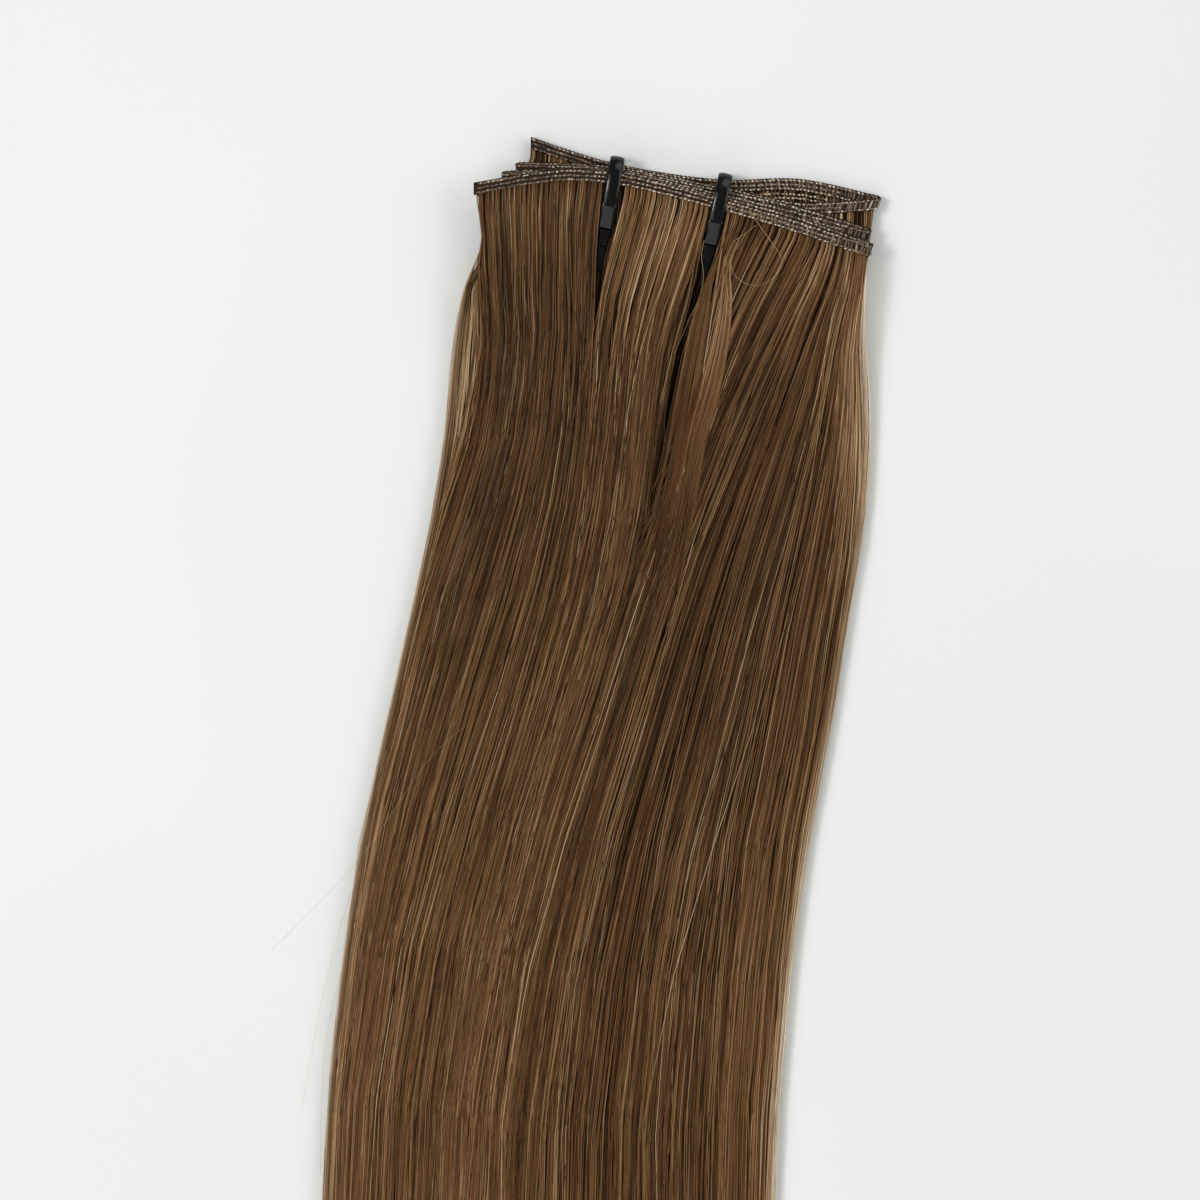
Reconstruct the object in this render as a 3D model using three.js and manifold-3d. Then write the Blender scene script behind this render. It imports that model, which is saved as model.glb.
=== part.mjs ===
// Invisible weft hair extension, lying flat: one stitched weft folded to and fro in six layers,
// the hair of each layer, and the two cable ties that hold the folds together.
// Millimetres, +Z up. The table is Z = 0, the weft is at +Y and the hair runs towards -Y.
import * as THREE from "three";
import Module from "manifold-3d";

const { lerp, smoothstep, clamp, degToRad } = THREE.MathUtils;
const wasm = await Module();
wasm.setup();
const { Manifold, Mesh: SolidMesh } = wasm;

// Stitched weft strip
const WEFT_HEIGHT = 3.1;
const WEFT_THICKNESS = 0.8;
const WEFT_CHAMFER = 0.2;
const WEFT_LIFT = 1.6;
const LAYER_PITCH = 1.15;
const STEPS_PER_LAYER = 12;
const STEPS_PER_FOLD = 6;

// X of the points that the weft's top edge is measured at, besides its two ends
const LEFT_BOW_X = -10;
const LEFT_TIE_X = 3;
const RIGHT_TIE_X = 30;
const RIGHT_BOW_X = 50;

// Hair
const TIP_Y = -207;
const ROOT_GAP = 0.3;
const CURTAIN_FILL = 0.75;
const FRONT_FILL = 1.3;
const FRONT_FILL_SWING = 0.25;
const LIFT_FADE = 45;
const EDGE_CROWN = 0.45;
const TIP_TAPER = 0.5;
const TAPER_START = 180;
const TAPER_END = 400;
const SPREAD_LENGTH = 26;
const ROW_CROWDING = 2;
const LOCK_GROOVE = 0.5;
const LOCK_FORM_LENGTH = 25;
const LOCK_WIDTH_SWING = 0.18;
const TIP_NOTCH = 7;
const TIP_SWING = 9;
const PART_LENGTH = 27;
const PART_HALF_WIDTH = 2.6;
const PART_CLOSED_HALF_WIDTH = 0.5;
const PART_CLOSE_START = 15;
const PART_CLOSE_END = 29;
const INSET_TOP_Y = 182;
const INSET_FULL_Y = 156;
const INSET_FADE_Y = 144;
const INSET_END_Y = 88;

// Cable ties: along is measured down the strap from the loop's top end
const TIE_WIDTH = 3.6;
const TIE_THICKNESS = 1.1;
const TIE_GAP = 0.3;
const TIE_CHAMFER = 0.25;
const TIE_CORNER = 2.2;
const TIE_CORNER_STEPS = 5;
const TIE_FLAT_END = 8;
const TIE_BEND_END = 12.8;
const TIE_BEND_Z = 8.9;
const TIE_LOOP_END = 20.4;
const TIE_LOOP_END_Z = 6.8;
const TIE_RETURN_START = 16;
const HEAD_WIDTH = 4.0;
const HEAD_CHAMFER = 0.55;
const HEAD_RISE = 0.25;
const HEAD_START = 12.6;
const HEAD_STEP = 18.3;
const HEAD_STEP_DROP = 0.4;
const HEAD_END = 21.6;
const HEAD_DEPTH = 2.5;
const TAIL_LENGTH = 8.6;
const TAIL_THICKNESS = 0.9;
const TAIL_ROOT_WIDTH = 3;
const TAIL_TIP_WIDTH = 1.2;
const TAIL_ROOT_Z = 5;
const TAIL_SLOPE = 12;

// The weft's top edge in each layer, from the layer on the table to the front one, and how far the
// sides of that layer's hair stay inside the outline below the weft
const WEFT_LAYERS = [
  {
    leftX: -17.3, leftY: 207, leftBowY: 204.4, leftTieY: 200.5,
    rightTieY: 196.3, rightBowY: 196.4, rightX: 69.8, rightY: 192.3, leftInset: 1.5, rightInset: 1.2,
  },
  {
    leftX: -21, leftY: 200.6, leftBowY: 200.5, leftTieY: 199.7,
    rightTieY: 194.6, rightBowY: 190.6, rightX: 69.8, rightY: 191.5, leftInset: 0, rightInset: 0,
  },
  {
    leftX: -21.4, leftY: 200, leftBowY: 199.8, leftTieY: 199.1,
    rightTieY: 193.8, rightBowY: 189.3, rightX: 67.2, rightY: 184.2, leftInset: 0.6, rightInset: 0.3,
  },
  {
    leftX: -24.5, leftY: 198.3, leftBowY: 199, leftTieY: 198.6,
    rightTieY: 192.8, rightBowY: 188, rightX: 67.5, rightY: 183.4, leftInset: 2.4, rightInset: 0.7,
  },
  {
    leftX: -24.8, leftY: 197.7, leftBowY: 198.7, leftTieY: 198.1,
    rightTieY: 191.8, rightBowY: 186.2, rightX: 68, rightY: 180.4, leftInset: 4.8, rightInset: 1.1,
  },
  {
    leftX: -31.5, leftY: 195.3, leftBowY: 198.6, leftTieY: 197.9,
    rightTieY: 191, rightBowY: 184.9, rightX: 68.3, rightY: 179.7, leftInset: 6.7, rightInset: 1.6,
  },
];

// The hair's outline, and the two lines where the ties part it, at sections down its length
const HAIR_SECTIONS = [
  { y: 197, left: -31.5, leftPart: 3.7, rightPart: 31.3, right: 69 },
  { y: 190, left: -30.5, leftPart: 2.6, rightPart: 29.8, right: 68.3 },
  { y: 180, left: -29.5, leftPart: 1, rightPart: 27.6, right: 67 },
  { y: 170, left: -33.5, leftPart: -0.2, rightPart: 25.1, right: 66.2 },
  { y: 155, left: -36.1, leftPart: -1.3, rightPart: 20.5, right: 66.1 },
  { y: 135, left: -38.1, leftPart: -2.5, rightPart: 17, right: 67.2 },
  { y: 110, left: -42, leftPart: -4.3, rightPart: 12.8, right: 65.5 },
  { y: 85, left: -47.5, leftPart: -7.5, rightPart: 8.5, right: 61.3 },
  { y: 60, left: -53.1, leftPart: -12, rightPart: 3.5, right: 57.5 },
  { y: 30, left: -59.6, leftPart: -17, rightPart: -2.5, right: 51.6 },
  { y: 0, left: -64, leftPart: -21, rightPart: -6.8, right: 47.6 },
  { y: -30, left: -67.3, leftPart: -24, rightPart: -10, right: 44.8 },
  { y: -60, left: -69, leftPart: -26, rightPart: -12, right: 43.4 },
  { y: -110, left: -69.6, leftPart: -27, rightPart: -13, right: 42 },
  { y: -160, left: -67.5, leftPart: -27, rightPart: -13.5, right: 38 },
  { y: -207, left: -62, leftPart: -26.5, rightPart: -14, right: 31 },
];

// The parts of a curtain between its sides and the lines of the ties, with the locks in each
const TRESSES = [
  { from: "left", to: "leftPart", frontLocks: 7, innerLocks: 3 },
  { from: "leftPart", to: "rightPart", frontLocks: 5, innerLocks: 2 },
  { from: "rightPart", to: "right", frontLocks: 7, innerLocks: 3 },
];
const FRONT_GRID = { rows: 15, lockSteps: 3 };
const INNER_GRID = { rows: 12, lockSteps: 2 };

// Where the loop's top end lies and how far the tie leans to the right
const TIES = [
  { name: "tie_left", x: 4.5, y: 202, tilt: 9 },
  { name: "tie_right", x: 31.5, y: 197.75, tilt: 12.5 },
];

const hairMaterial = new THREE.MeshStandardMaterial({ color: 0x56402a, roughness: 0.45 });
const weftMaterial = new THREE.MeshStandardMaterial({ color: 0x69584b, roughness: 0.7 });
const tieMaterial = new THREE.MeshStandardMaterial({ color: 0x141414, roughness: 0.3 });

// A cubic through the rows of a table, in the order of one column, giving the other columns named
function through(rows, along, columns) {
  const sorted = [...rows].sort((a, b) => a[along] - b[along]);
  const values = sorted.flatMap((row) => columns.map((name) => row[name]));
  const curve = new THREE.CubicInterpolant(sorted.map((row) => row[along]), values, columns.length);
  return (position) => {
    const found = curve.evaluate(position);
    return Object.fromEntries(columns.map((name, i) => [name, found[i]]));
  };
}

const outline = through(HAIR_SECTIONS, "y", ["left", "leftPart", "rightPart", "right"]);

// Y of a weft layer's top edge at an X
function topEdge(layer) {
  const knots = [
    { x: layer.leftX, y: layer.leftY },
    { x: LEFT_BOW_X, y: layer.leftBowY },
    { x: LEFT_TIE_X, y: layer.leftTieY },
    { x: RIGHT_TIE_X, y: layer.rightTieY },
    { x: RIGHT_BOW_X, y: layer.rightBowY },
    { x: layer.rightX, y: layer.rightY },
  ];
  const curve = through(knots, "x", ["y"]);
  return (x) => curve(x).y;
}

const topEdges = WEFT_LAYERS.map(topEdge);
const frontEdge = topEdges[topEdges.length - 1];

// Distance down the hair from the front layer's lower edge
function belowWeft(x, y) {
  return frontEdge(x) - WEFT_HEIGHT - y;
}

// Z of a level in the stack, counted in layers. The stack is flat at the weft, comes down to the table
// below it, is rounded down towards its sides and thins towards the tips.
function stackZ(x, y, level) {
  const below = belowWeft(x, y);
  const { left, right } = outline(y);
  const across = clamp((x - left) / (right - left), 0, 1);
  const settled = smoothstep(below, 0, LIFT_FADE);
  const round = Math.pow(Math.sin(Math.PI * across), 0.6);
  const crown = lerp(1, lerp(EDGE_CROWN, 1, round), settled);
  const taper = lerp(1, TIP_TAPER, smoothstep(below, TAPER_START, TAPER_END));
  return WEFT_LIFT * (1 - settled) + level * LAYER_PITCH * crown * taper;
}

function meshGeometry(positions, triangles) {
  const geometry = new THREE.BufferGeometry();
  geometry.setAttribute("position", new THREE.Float32BufferAttribute(positions.flat(), 3));
  geometry.setIndex(triangles.flat());
  geometry.computeVertexNormals();
  return geometry;
}

// A closed strip through rings of the same number of points, with flat ends
function ringGeometry(rings) {
  const sides = rings[0].length;
  const triangles = [];
  for (let ring = 0; ring + 1 < rings.length; ring += 1) {
    for (let side = 0; side < sides; side += 1) {
      const a = ring * sides + side;
      const b = ring * sides + ((side + 1) % sides);
      triangles.push([a, b, b + sides], [a, b + sides, a + sides]);
    }
  }
  const last = (rings.length - 1) * sides;
  for (let side = 1; side + 1 < sides; side += 1) {
    triangles.push([0, side + 1, side], [last, last + side, last + side + 1]);
  }
  return meshGeometry(rings.flat(), triangles);
}

// A closed sheet between a top and a bottom grid of points, with the cells that keep() turns down left open
function sheetGeometry(top, bottom, keep) {
  const columns = top[0].length;
  const rows = top.length;
  const under = rows * columns;
  const triangles = [];
  const kept = (row, column) =>
    row >= 0 && column >= 0 && row + 1 < rows && column + 1 < columns && keep(row, column);
  const wall = (from, to) =>
    triangles.push([to, from, from + under], [to, from + under, to + under]);
  for (let row = 0; row + 1 < rows; row += 1) {
    for (let column = 0; column + 1 < columns; column += 1) {
      if (!kept(row, column)) {
        continue;
      }
      const a = row * columns + column;
      const b = a + 1;
      const c = a + columns;
      const d = c + 1;
      triangles.push([a, c, d], [a, d, b]);
      triangles.push([a + under, d + under, c + under], [a + under, b + under, d + under]);
      if (!kept(row, column - 1)) {
        wall(a, c);
      }
      if (!kept(row + 1, column)) {
        wall(c, d);
      }
      if (!kept(row, column + 1)) {
        wall(d, b);
      }
      if (!kept(row - 1, column)) {
        wall(b, a);
      }
    }
  }
  return meshGeometry([...top.flat(), ...bottom.flat()], triangles);
}

// The weft strip: its middle line runs to and fro in X and Z, and the strip hangs from it along Y
function weftGeometry() {
  const stations = [];
  WEFT_LAYERS.forEach((layer, index) => {
    const rightwards = index % 2 === 0;
    const start = rightwards ? layer.leftX : layer.rightX;
    const end = rightwards ? layer.rightX : layer.leftX;
    const z = WEFT_LIFT + index * LAYER_PITCH + WEFT_THICKNESS / 2;
    for (let step = 0; step <= STEPS_PER_LAYER; step += 1) {
      const x = lerp(start, end, step / STEPS_PER_LAYER);
      stations.push({ x, z, y: topEdges[index](x), turn: rightwards ? 0 : Math.PI });
    }
    const next = WEFT_LAYERS[index + 1];
    if (!next) {
      return;
    }
    const endY = rightwards ? layer.rightY : layer.leftY;
    const nextX = rightwards ? next.rightX : next.leftX;
    const nextY = rightwards ? next.rightY : next.leftY;
    const side = rightwards ? 1 : -1;
    for (let step = 1; step < STEPS_PER_FOLD; step += 1) {
      const share = step / STEPS_PER_FOLD;
      const swing = Math.PI * share;
      const radius = LAYER_PITCH / 2;
      stations.push({
        x: lerp(end, nextX, share) + side * radius * Math.sin(swing),
        z: z + radius * (1 - Math.cos(swing)),
        y: lerp(endY, nextY, share),
        turn: rightwards ? swing : Math.PI - swing,
      });
    }
  });
  const half = WEFT_THICKNESS / 2;
  const section = [
    { out: half, down: WEFT_CHAMFER },
    { out: half, down: WEFT_HEIGHT - WEFT_CHAMFER },
    { out: half - WEFT_CHAMFER, down: WEFT_HEIGHT },
    { out: WEFT_CHAMFER - half, down: WEFT_HEIGHT },
    { out: -half, down: WEFT_HEIGHT - WEFT_CHAMFER },
    { out: -half, down: WEFT_CHAMFER },
    { out: WEFT_CHAMFER - half, down: 0 },
    { out: half - WEFT_CHAMFER, down: 0 },
  ];
  const rings = stations.map(({ x, y, z, turn }) =>
    section.map(({ out, down }) => [x - out * Math.sin(turn), y - down, z + out * Math.cos(turn)]),
  );
  return ringGeometry(rings);
}

// How far the sides of a layer stay inside the outline, as a share of the layer's own inset
function insetShare(y) {
  return smoothstep(-y, -INSET_TOP_Y, -INSET_FULL_Y) * (1 - smoothstep(-y, -INSET_FADE_Y, -INSET_END_Y));
}

// X of the sides and parting lines of a layer's hair, a distance down from its own root
function hairLines(layer, y, down) {
  const lines = outline(y);
  const spread = smoothstep(down, 0, SPREAD_LENGTH);
  const inset = insetShare(y);
  return {
    ...lines,
    left: lerp(layer.leftX, lines.left + layer.leftInset * inset, spread),
    right: lerp(layer.rightX, lines.right - layer.rightInset * inset, spread),
  };
}

// Half the width of the opening that a tie passes through
function partHalfWidth(x, y) {
  const closed = smoothstep(belowWeft(x, y), PART_CLOSE_START, PART_CLOSE_END);
  return lerp(PART_HALF_WIDTH, PART_CLOSED_HALF_WIDTH, closed);
}

// X of a column of hair that lies a share of the way across a tress
function columnX(layer, tress, share, y, down) {
  const lines = hairLines(layer, y, down);
  const from = lines[tress.from];
  const to = lines[tress.to];
  const fromX = tress.from === "left" ? from : from + partHalfWidth(from, y);
  const toX = tress.to === "right" ? to : to - partHalfWidth(to, y);
  return lerp(fromX, toX, share);
}

// The columns of a curtain: where each lies in its tress, and how deep it is in the groove between locks
function curtainColumns(index, front) {
  const { lockSteps } = front ? FRONT_GRID : INNER_GRID;
  const columns = [];
  for (const tress of TRESSES) {
    const locks = front ? tress.frontLocks : tress.innerLocks;
    for (let step = 0; step <= locks * lockSteps; step += 1) {
      const lock = step / lockSteps;
      const inner = Math.sin((Math.PI * step) / (locks * lockSteps));
      const swing = LOCK_WIDTH_SWING * inner * Math.sin(2.4 * lock + 1.7 * index);
      columns.push({
        tress,
        share: (lock + swing) / locks,
        groove: step % lockSteps === 0 ? 1 : 0,
        phase: Math.floor(lock) * 2.1 + index * 1.3,
        last: step === locks * lockSteps,
      });
    }
  }
  return columns;
}

// The hair of one weft layer, as a curtain of locks that the ties part below the weft
function curtainGeometry(layer, index) {
  const front = index === WEFT_LAYERS.length - 1;
  const { rows } = front ? FRONT_GRID : INNER_GRID;
  const columns = curtainColumns(index, front);
  const downs = [];
  const top = [];
  const bottom = [];
  const roots = columns.map(({ tress, share }) => {
    let y = topEdges[index](columnX(layer, tress, share, layer.leftTieY, 0)) - WEFT_HEIGHT - ROOT_GAP;
    y = topEdges[index](columnX(layer, tress, share, y, 0)) - WEFT_HEIGHT - ROOT_GAP;
    return y;
  });
  for (let row = 0; row <= rows; row += 1) {
    const run = Math.pow(row / rows, ROW_CROWDING);
    const topRow = [];
    const bottomRow = [];
    columns.forEach(({ tress, share, groove, phase }, column) => {
      const tipY = TIP_Y + groove * TIP_NOTCH + TIP_SWING * (0.5 + 0.5 * Math.sin(phase));
      const y = lerp(roots[column], tipY, run);
      const down = roots[column] - y;
      const x = columnX(layer, tress, share, y, down);
      const formed = smoothstep(down, 0, LOCK_FORM_LENGTH);
      const full = front ? FRONT_FILL + FRONT_FILL_SWING * Math.sin(phase) : CURTAIN_FILL;
      const fill = lerp(CURTAIN_FILL, full, formed) * (1 - groove * LOCK_GROOVE * formed);
      topRow.push([x, y, stackZ(x, y, index + fill)]);
      bottomRow.push([x, y, stackZ(x, y, index)]);
    });
    top.push(topRow);
    bottom.push(bottomRow);
    downs.push(roots[0] - topRow[0][1]);
  }
  const keep = (row, column) => !columns[column].last || downs[row] > PART_LENGTH;
  return sheetGeometry(top, bottom, keep);
}

function toSolid(geometry) {
  const plain = geometry.index ? geometry.toNonIndexed() : geometry;
  const places = plain.getAttribute("position").array;
  const mesh = new SolidMesh({
    numProp: 3,
    vertProperties: new Float32Array(places),
    triVerts: Uint32Array.from({ length: places.length / 3 }, (_, i) => i),
  });
  mesh.merge();
  return new Manifold(mesh);
}

function fromSolid(solid) {
  const { vertProperties, triVerts } = solid.getMesh();
  const geometry = new THREE.BufferGeometry();
  geometry.setAttribute("position", new THREE.Float32BufferAttribute(vertProperties, 3));
  geometry.setIndex(Array.from(triVerts));
  geometry.computeVertexNormals();
  return geometry;
}

// A side view drawn along the strap and up, given width with chamfered sides. The strap runs along Y.
function fromSideView(shape, width, chamfer) {
  const geometry = new THREE.ExtrudeGeometry(shape, {
    depth: width - 2 * chamfer,
    bevelThickness: chamfer,
    bevelSize: chamfer,
    bevelOffset: -chamfer,
    bevelSegments: 1,
    curveSegments: TIE_CORNER_STEPS,
  });
  geometry.translate(0, 0, chamfer - width / 2);
  const turned = new THREE.Matrix4().makeBasis(
    new THREE.Vector3(0, 1, 0),
    new THREE.Vector3(0, 0, 1),
    new THREE.Vector3(1, 0, 0),
  );
  return geometry.applyMatrix4(turned);
}

// One face of the strap loop in side view, a depth inside its outer face
function loopLine(line, depth, top) {
  const corner = TIE_CORNER - depth;
  const right = Math.PI / 2;
  line.moveTo(-TIE_RETURN_START, depth);
  line.lineTo(-TIE_CORNER, depth);
  line.absarc(-TIE_CORNER, TIE_CORNER, corner, -right, 0, false);
  line.absarc(-TIE_CORNER, top - TIE_CORNER, corner, 0, right, false);
  line.lineTo(-TIE_FLAT_END, top - depth);
  line.lineTo(-TIE_BEND_END, TIE_BEND_Z - depth);
  line.lineTo(-TIE_LOOP_END + depth, TIE_LOOP_END_Z - depth);
  const bulge = TIE_LOOP_END + 2.2 - 1.4 * depth;
  line.bezierCurveTo(-bulge, TIE_LOOP_END_Z - 1.4, -bulge, depth, -TIE_RETURN_START, depth);
  return line;
}

// A closed cable tie: strap loop round the folded weft, head on the front and free tail
function tieGeometry() {
  const stack = WEFT_LIFT + (WEFT_LAYERS.length - 1) * LAYER_PITCH + WEFT_THICKNESS;
  const top = stack + TIE_GAP + TIE_THICKNESS;
  const loopShape = loopLine(new THREE.Shape(), 0, top);
  loopShape.holes.push(loopLine(new THREE.Path(), TIE_THICKNESS, top));
  const slope = (TIE_LOOP_END_Z - TIE_BEND_Z) / (TIE_LOOP_END - TIE_BEND_END);
  const faceZ = (along) => TIE_BEND_Z + slope * (along - TIE_BEND_END) + HEAD_RISE;
  const headShape = new THREE.Shape([
    new THREE.Vector2(-HEAD_START, faceZ(HEAD_START)),
    new THREE.Vector2(-HEAD_STEP, faceZ(HEAD_STEP)),
    new THREE.Vector2(-HEAD_STEP - HEAD_STEP_DROP, faceZ(HEAD_STEP) - 2 * HEAD_STEP_DROP),
    new THREE.Vector2(-HEAD_END, faceZ(HEAD_END) - HEAD_STEP_DROP),
    new THREE.Vector2(-HEAD_END, faceZ(HEAD_END) - HEAD_DEPTH),
    new THREE.Vector2(-HEAD_START, faceZ(HEAD_START) - HEAD_DEPTH),
  ]);
  const tailShape = new THREE.Shape([
    new THREE.Vector2(-TAIL_ROOT_WIDTH / 2, 0),
    new THREE.Vector2(-TAIL_TIP_WIDTH / 2, -TAIL_LENGTH),
    new THREE.Vector2(TAIL_TIP_WIDTH / 2, -TAIL_LENGTH),
    new THREE.Vector2(TAIL_ROOT_WIDTH / 2, 0),
  ]);
  const tail = new THREE.ExtrudeGeometry(tailShape, { depth: TAIL_THICKNESS, bevelEnabled: false });
  tail.rotateX(degToRad(TAIL_SLOPE));
  tail.translate(0, -HEAD_END + 0.6, TAIL_ROOT_Z - TAIL_THICKNESS / 2);
  const loop = toSolid(fromSideView(loopShape, TIE_WIDTH, TIE_CHAMFER));
  const head = toSolid(fromSideView(headShape, HEAD_WIDTH, HEAD_CHAMFER));
  return fromSolid(loop.add(head).add(toSolid(tail)));
}

function named(name, geometry, material) {
  const mesh = new THREE.Mesh(geometry, material);
  mesh.name = name;
  return mesh;
}

const extension = new THREE.Group();
extension.name = "hair_extension";
extension.add(named("weft_band", weftGeometry(), weftMaterial));
WEFT_LAYERS.forEach((layer, index) => {
  extension.add(named(`hair_layer_${index + 1}`, curtainGeometry(layer, index), hairMaterial));
});
for (const { name, x, y, tilt } of TIES) {
  const tie = named(name, tieGeometry(), tieMaterial);
  tie.position.set(x, y, 0);
  tie.rotation.z = -degToRad(tilt);
  extension.add(tie);
}

export default extension;
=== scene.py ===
"""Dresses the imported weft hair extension: folded weft, stitches, strands, ties and a plain studio stage."""

import math

import bpy
import numpy as np
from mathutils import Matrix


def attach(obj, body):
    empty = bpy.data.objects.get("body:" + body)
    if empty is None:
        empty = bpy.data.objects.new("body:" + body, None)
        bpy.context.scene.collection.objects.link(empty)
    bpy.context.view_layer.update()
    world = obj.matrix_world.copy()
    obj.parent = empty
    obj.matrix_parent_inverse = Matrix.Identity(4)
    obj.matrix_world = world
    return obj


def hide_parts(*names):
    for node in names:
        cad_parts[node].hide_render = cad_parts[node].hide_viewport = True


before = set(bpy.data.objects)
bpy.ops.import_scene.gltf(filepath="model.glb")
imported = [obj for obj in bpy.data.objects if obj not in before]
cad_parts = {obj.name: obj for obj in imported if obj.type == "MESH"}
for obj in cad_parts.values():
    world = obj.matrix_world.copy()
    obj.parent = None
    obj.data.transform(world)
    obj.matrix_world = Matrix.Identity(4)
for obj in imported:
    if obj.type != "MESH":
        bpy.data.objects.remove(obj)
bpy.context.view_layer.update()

bl_info = {
    "name": "Weft Hair Extension",
    "version": (1, 0, 0),
    "blender": (4, 5, 0),
    "location": "View3D > Sidebar > Hair Extension",
    "description": "Builds the looks of a folded weft hair extension around its packed model",
    "category": "Add Mesh",
}

MM = 0.001
BODY = "root"
HAIR_NODES = [f"hair_layer_{number}" for number in range(1, 7)]

# Weft strip and hair stack, in millimetres, as in the part's source, with the strip's ends eased to the photo
WEFT_HEIGHT = 3.1
WEFT_THICKNESS = 0.8
WEFT_LIFT = 1.6
# How far the strip leans to the left for each millimetre down, at its right ends
WEFT_LEAN = 0.32
WEFT_LEAN_X = (42.0, 67.0)
LAYER_PITCH = 1.15
WEFT_KNOT_X = (-10.0, 3.0, 30.0, 50.0)
TIP_Y = -207.0
HAIR_LENGTH = 400.0
ROOT_GAP = 0.3
LIFT_FADE = 45.0
EDGE_CROWN = 0.45
CROWN_POWER = 0.6
TIP_TAPER = 0.5
TAPER_START = 180.0
TAPER_END = 400.0
SPREAD_LENGTH = 26.0
PART_HALF_WIDTH = 2.6
PART_CLOSED_HALF_WIDTH = 0.5
PART_CLOSE = (2.0, 34.0)
# First layer that opens for the ties, counted from 0, and how the ones below give way to a tie's head
OPEN_LAYER = 4
INNER_HALF_WIDTH = 0.1
HEAD_HALF_WIDTH = 1.0
HEAD_ROOM = (3.0, 8.0, 10.0, 16.0)
# Shares of an opening that the left and right sides of each tress leave
PART_SHARES = ((0.0, 1.2, 0.8), (0.95, 0.8, 0.0))
# Where the layers' own insets from the outline begin, are full, and end again
INSET_Y = np.array((182.0, 156.0, 144.0, 88.0))

# One row for each weft layer, from the table to the front: its top edge at the left end, at the four
# knots, and at the right end, and how far its hair stays inside the outline on each side
LAYER_COLUMNS = ("left_x", "left_y", "y1", "y2", "y3", "y4", "right_x", "right_y", "left_in", "right_in")
LAYERS = [
    dict(zip(LAYER_COLUMNS, row))
    for row in (
        (-17.3, 207.0, 204.4, 200.5, 196.3, 196.4, 69.3, 192.3, 1.5, 1.2),
        (-20.0, 200.6, 200.5, 199.7, 194.6, 190.6, 69.3, 191.5, 0.0, 0.0),
        (-20.3, 200.0, 199.8, 199.1, 193.8, 189.3, 66.8, 184.2, 0.6, 0.3),
        (-23.5, 198.3, 199.0, 198.6, 192.8, 188.0, 67.0, 183.4, 2.4, 0.7),
        (-23.8, 197.7, 198.7, 198.1, 192.0, 186.6, 67.2, 180.4, 4.8, 1.1),
        (-31.5, 195.3, 198.6, 197.9, 191.4, 185.5, 67.5, 179.7, 6.7, 1.6),
    )
]
FRONT = len(LAYERS) - 1

# Sections down the hair: y, left side, left and right parting lines, right side
SECTIONS = np.array(
    (
        (-207.0, -62.0, -26.5, -14.0, 31.0),
        (-160.0, -67.5, -27.0, -13.5, 38.0),
        (-110.0, -69.6, -27.0, -13.0, 42.0),
        (-60.0, -69.0, -26.0, -12.0, 43.4),
        (-30.0, -67.3, -24.0, -10.0, 44.8),
        (0.0, -64.0, -21.0, -6.8, 47.6),
        (30.0, -59.6, -17.0, -2.5, 51.6),
        (60.0, -53.1, -12.0, 3.5, 57.5),
        (85.0, -47.5, -7.5, 8.5, 61.3),
        (110.0, -42.0, -4.3, 12.8, 65.5),
        (135.0, -38.1, -2.5, 17.0, 67.2),
        (155.0, -36.1, -1.3, 20.5, 66.1),
        (170.0, -33.5, -0.2, 25.1, 66.2),
        (180.0, -29.5, 1.0, 27.6, 67.0),
        (190.0, -30.5, 2.6, 29.8, 68.3),
        (197.0, -31.5, 3.7, 31.3, 69.0),
    )
)

# Steps along each layer and round each fold of the strip, for the strip itself and for the stitches on it
WEFT_STEPS = (240, 8)
STITCH_STEPS = (60, 8)
# Upper half of the strip's section: share of half its thickness, distance down, and way of the scallop
WEFT_SECTION = (
    (0.5, 0.0, 1),
    (0.9, 0.35, 0),
    (0.75, 1.0, 0),
    (0.75, 2.1, 0),
    (0.9, 2.75, 0),
    (0.5, WEFT_HEIGHT, -1),
)
SCALLOP = 0.07

# Rows of stitches: faces of the strip, where 0 is the upper one, distance down, start along, how much less
# painted highlight the row has, and X range. The middle row is darker, with less painted highlight, and the
# last two lie on the hair under the back layer's strip.
STITCH_ROWS = (
    ((1, -1), 0.5, 0.0, 0.0, (-80.0, 80.0)),
    ((1, -1), 2.62, 0.5, 0.0, (-80.0, 80.0)),
    ((0,), 1.56, 0.3, 0.15, (-80.0, 61.0)),
    ((0,), 3.9, 0.0, 0.0, (33.0, 58.0)),
    ((0,), 4.9, 0.5, 0.0, (33.0, 58.0)),
)
STITCH_RUN = np.array((0.0, 0.5, 1.0))
# Free ends of a row, in millimetres at its start and in stitches at its end
STITCH_ENDS = (0.3, 1.2)
STITCH_JITTER = (-0.22, 0.22)
STITCH_SCATTER = (-0.1, 0.1)
STITCH_PLUMP = (0.6, 1.2)
# How deep a stitch sits, as a share of half the strip's thickness
STITCH_SEAT = 0.85
# Tints of the loops, and of the twists of thread on them, whose palest tints are a painted highlight: middle,
# how much darker where there is less painted highlight, scatter, and range
LOOP_TINTS = (0.36, 0.09, 0.16, (0.0, 0.7))
TWIST_TINTS = (0.94, 0.42, 0.3, (0.15, 1.0))
# Heights of stitches and turns against their widths
STITCH_FLATNESS = 0.55
TURN_FLATNESS = 0.4
# Where along X the stitches have less painted highlight, and by how much
STITCH_CALM = ((-8.0, 6.0, 52.0, 61.0), (1.0, 0.0, 0.0, 0.8))
# Upright turns of thread: right of this X, between two distances down, and this far out of the strip
TURN_X = 30.0
TURN_DOWN = (0.5, 2.7)
TURN_OUT = 0.34
TURN_RUN = np.array((0.0, 1.0))
TURN_ENDS = 0.4
TURN_WIDTHS = (0.35, 0.8)
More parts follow.
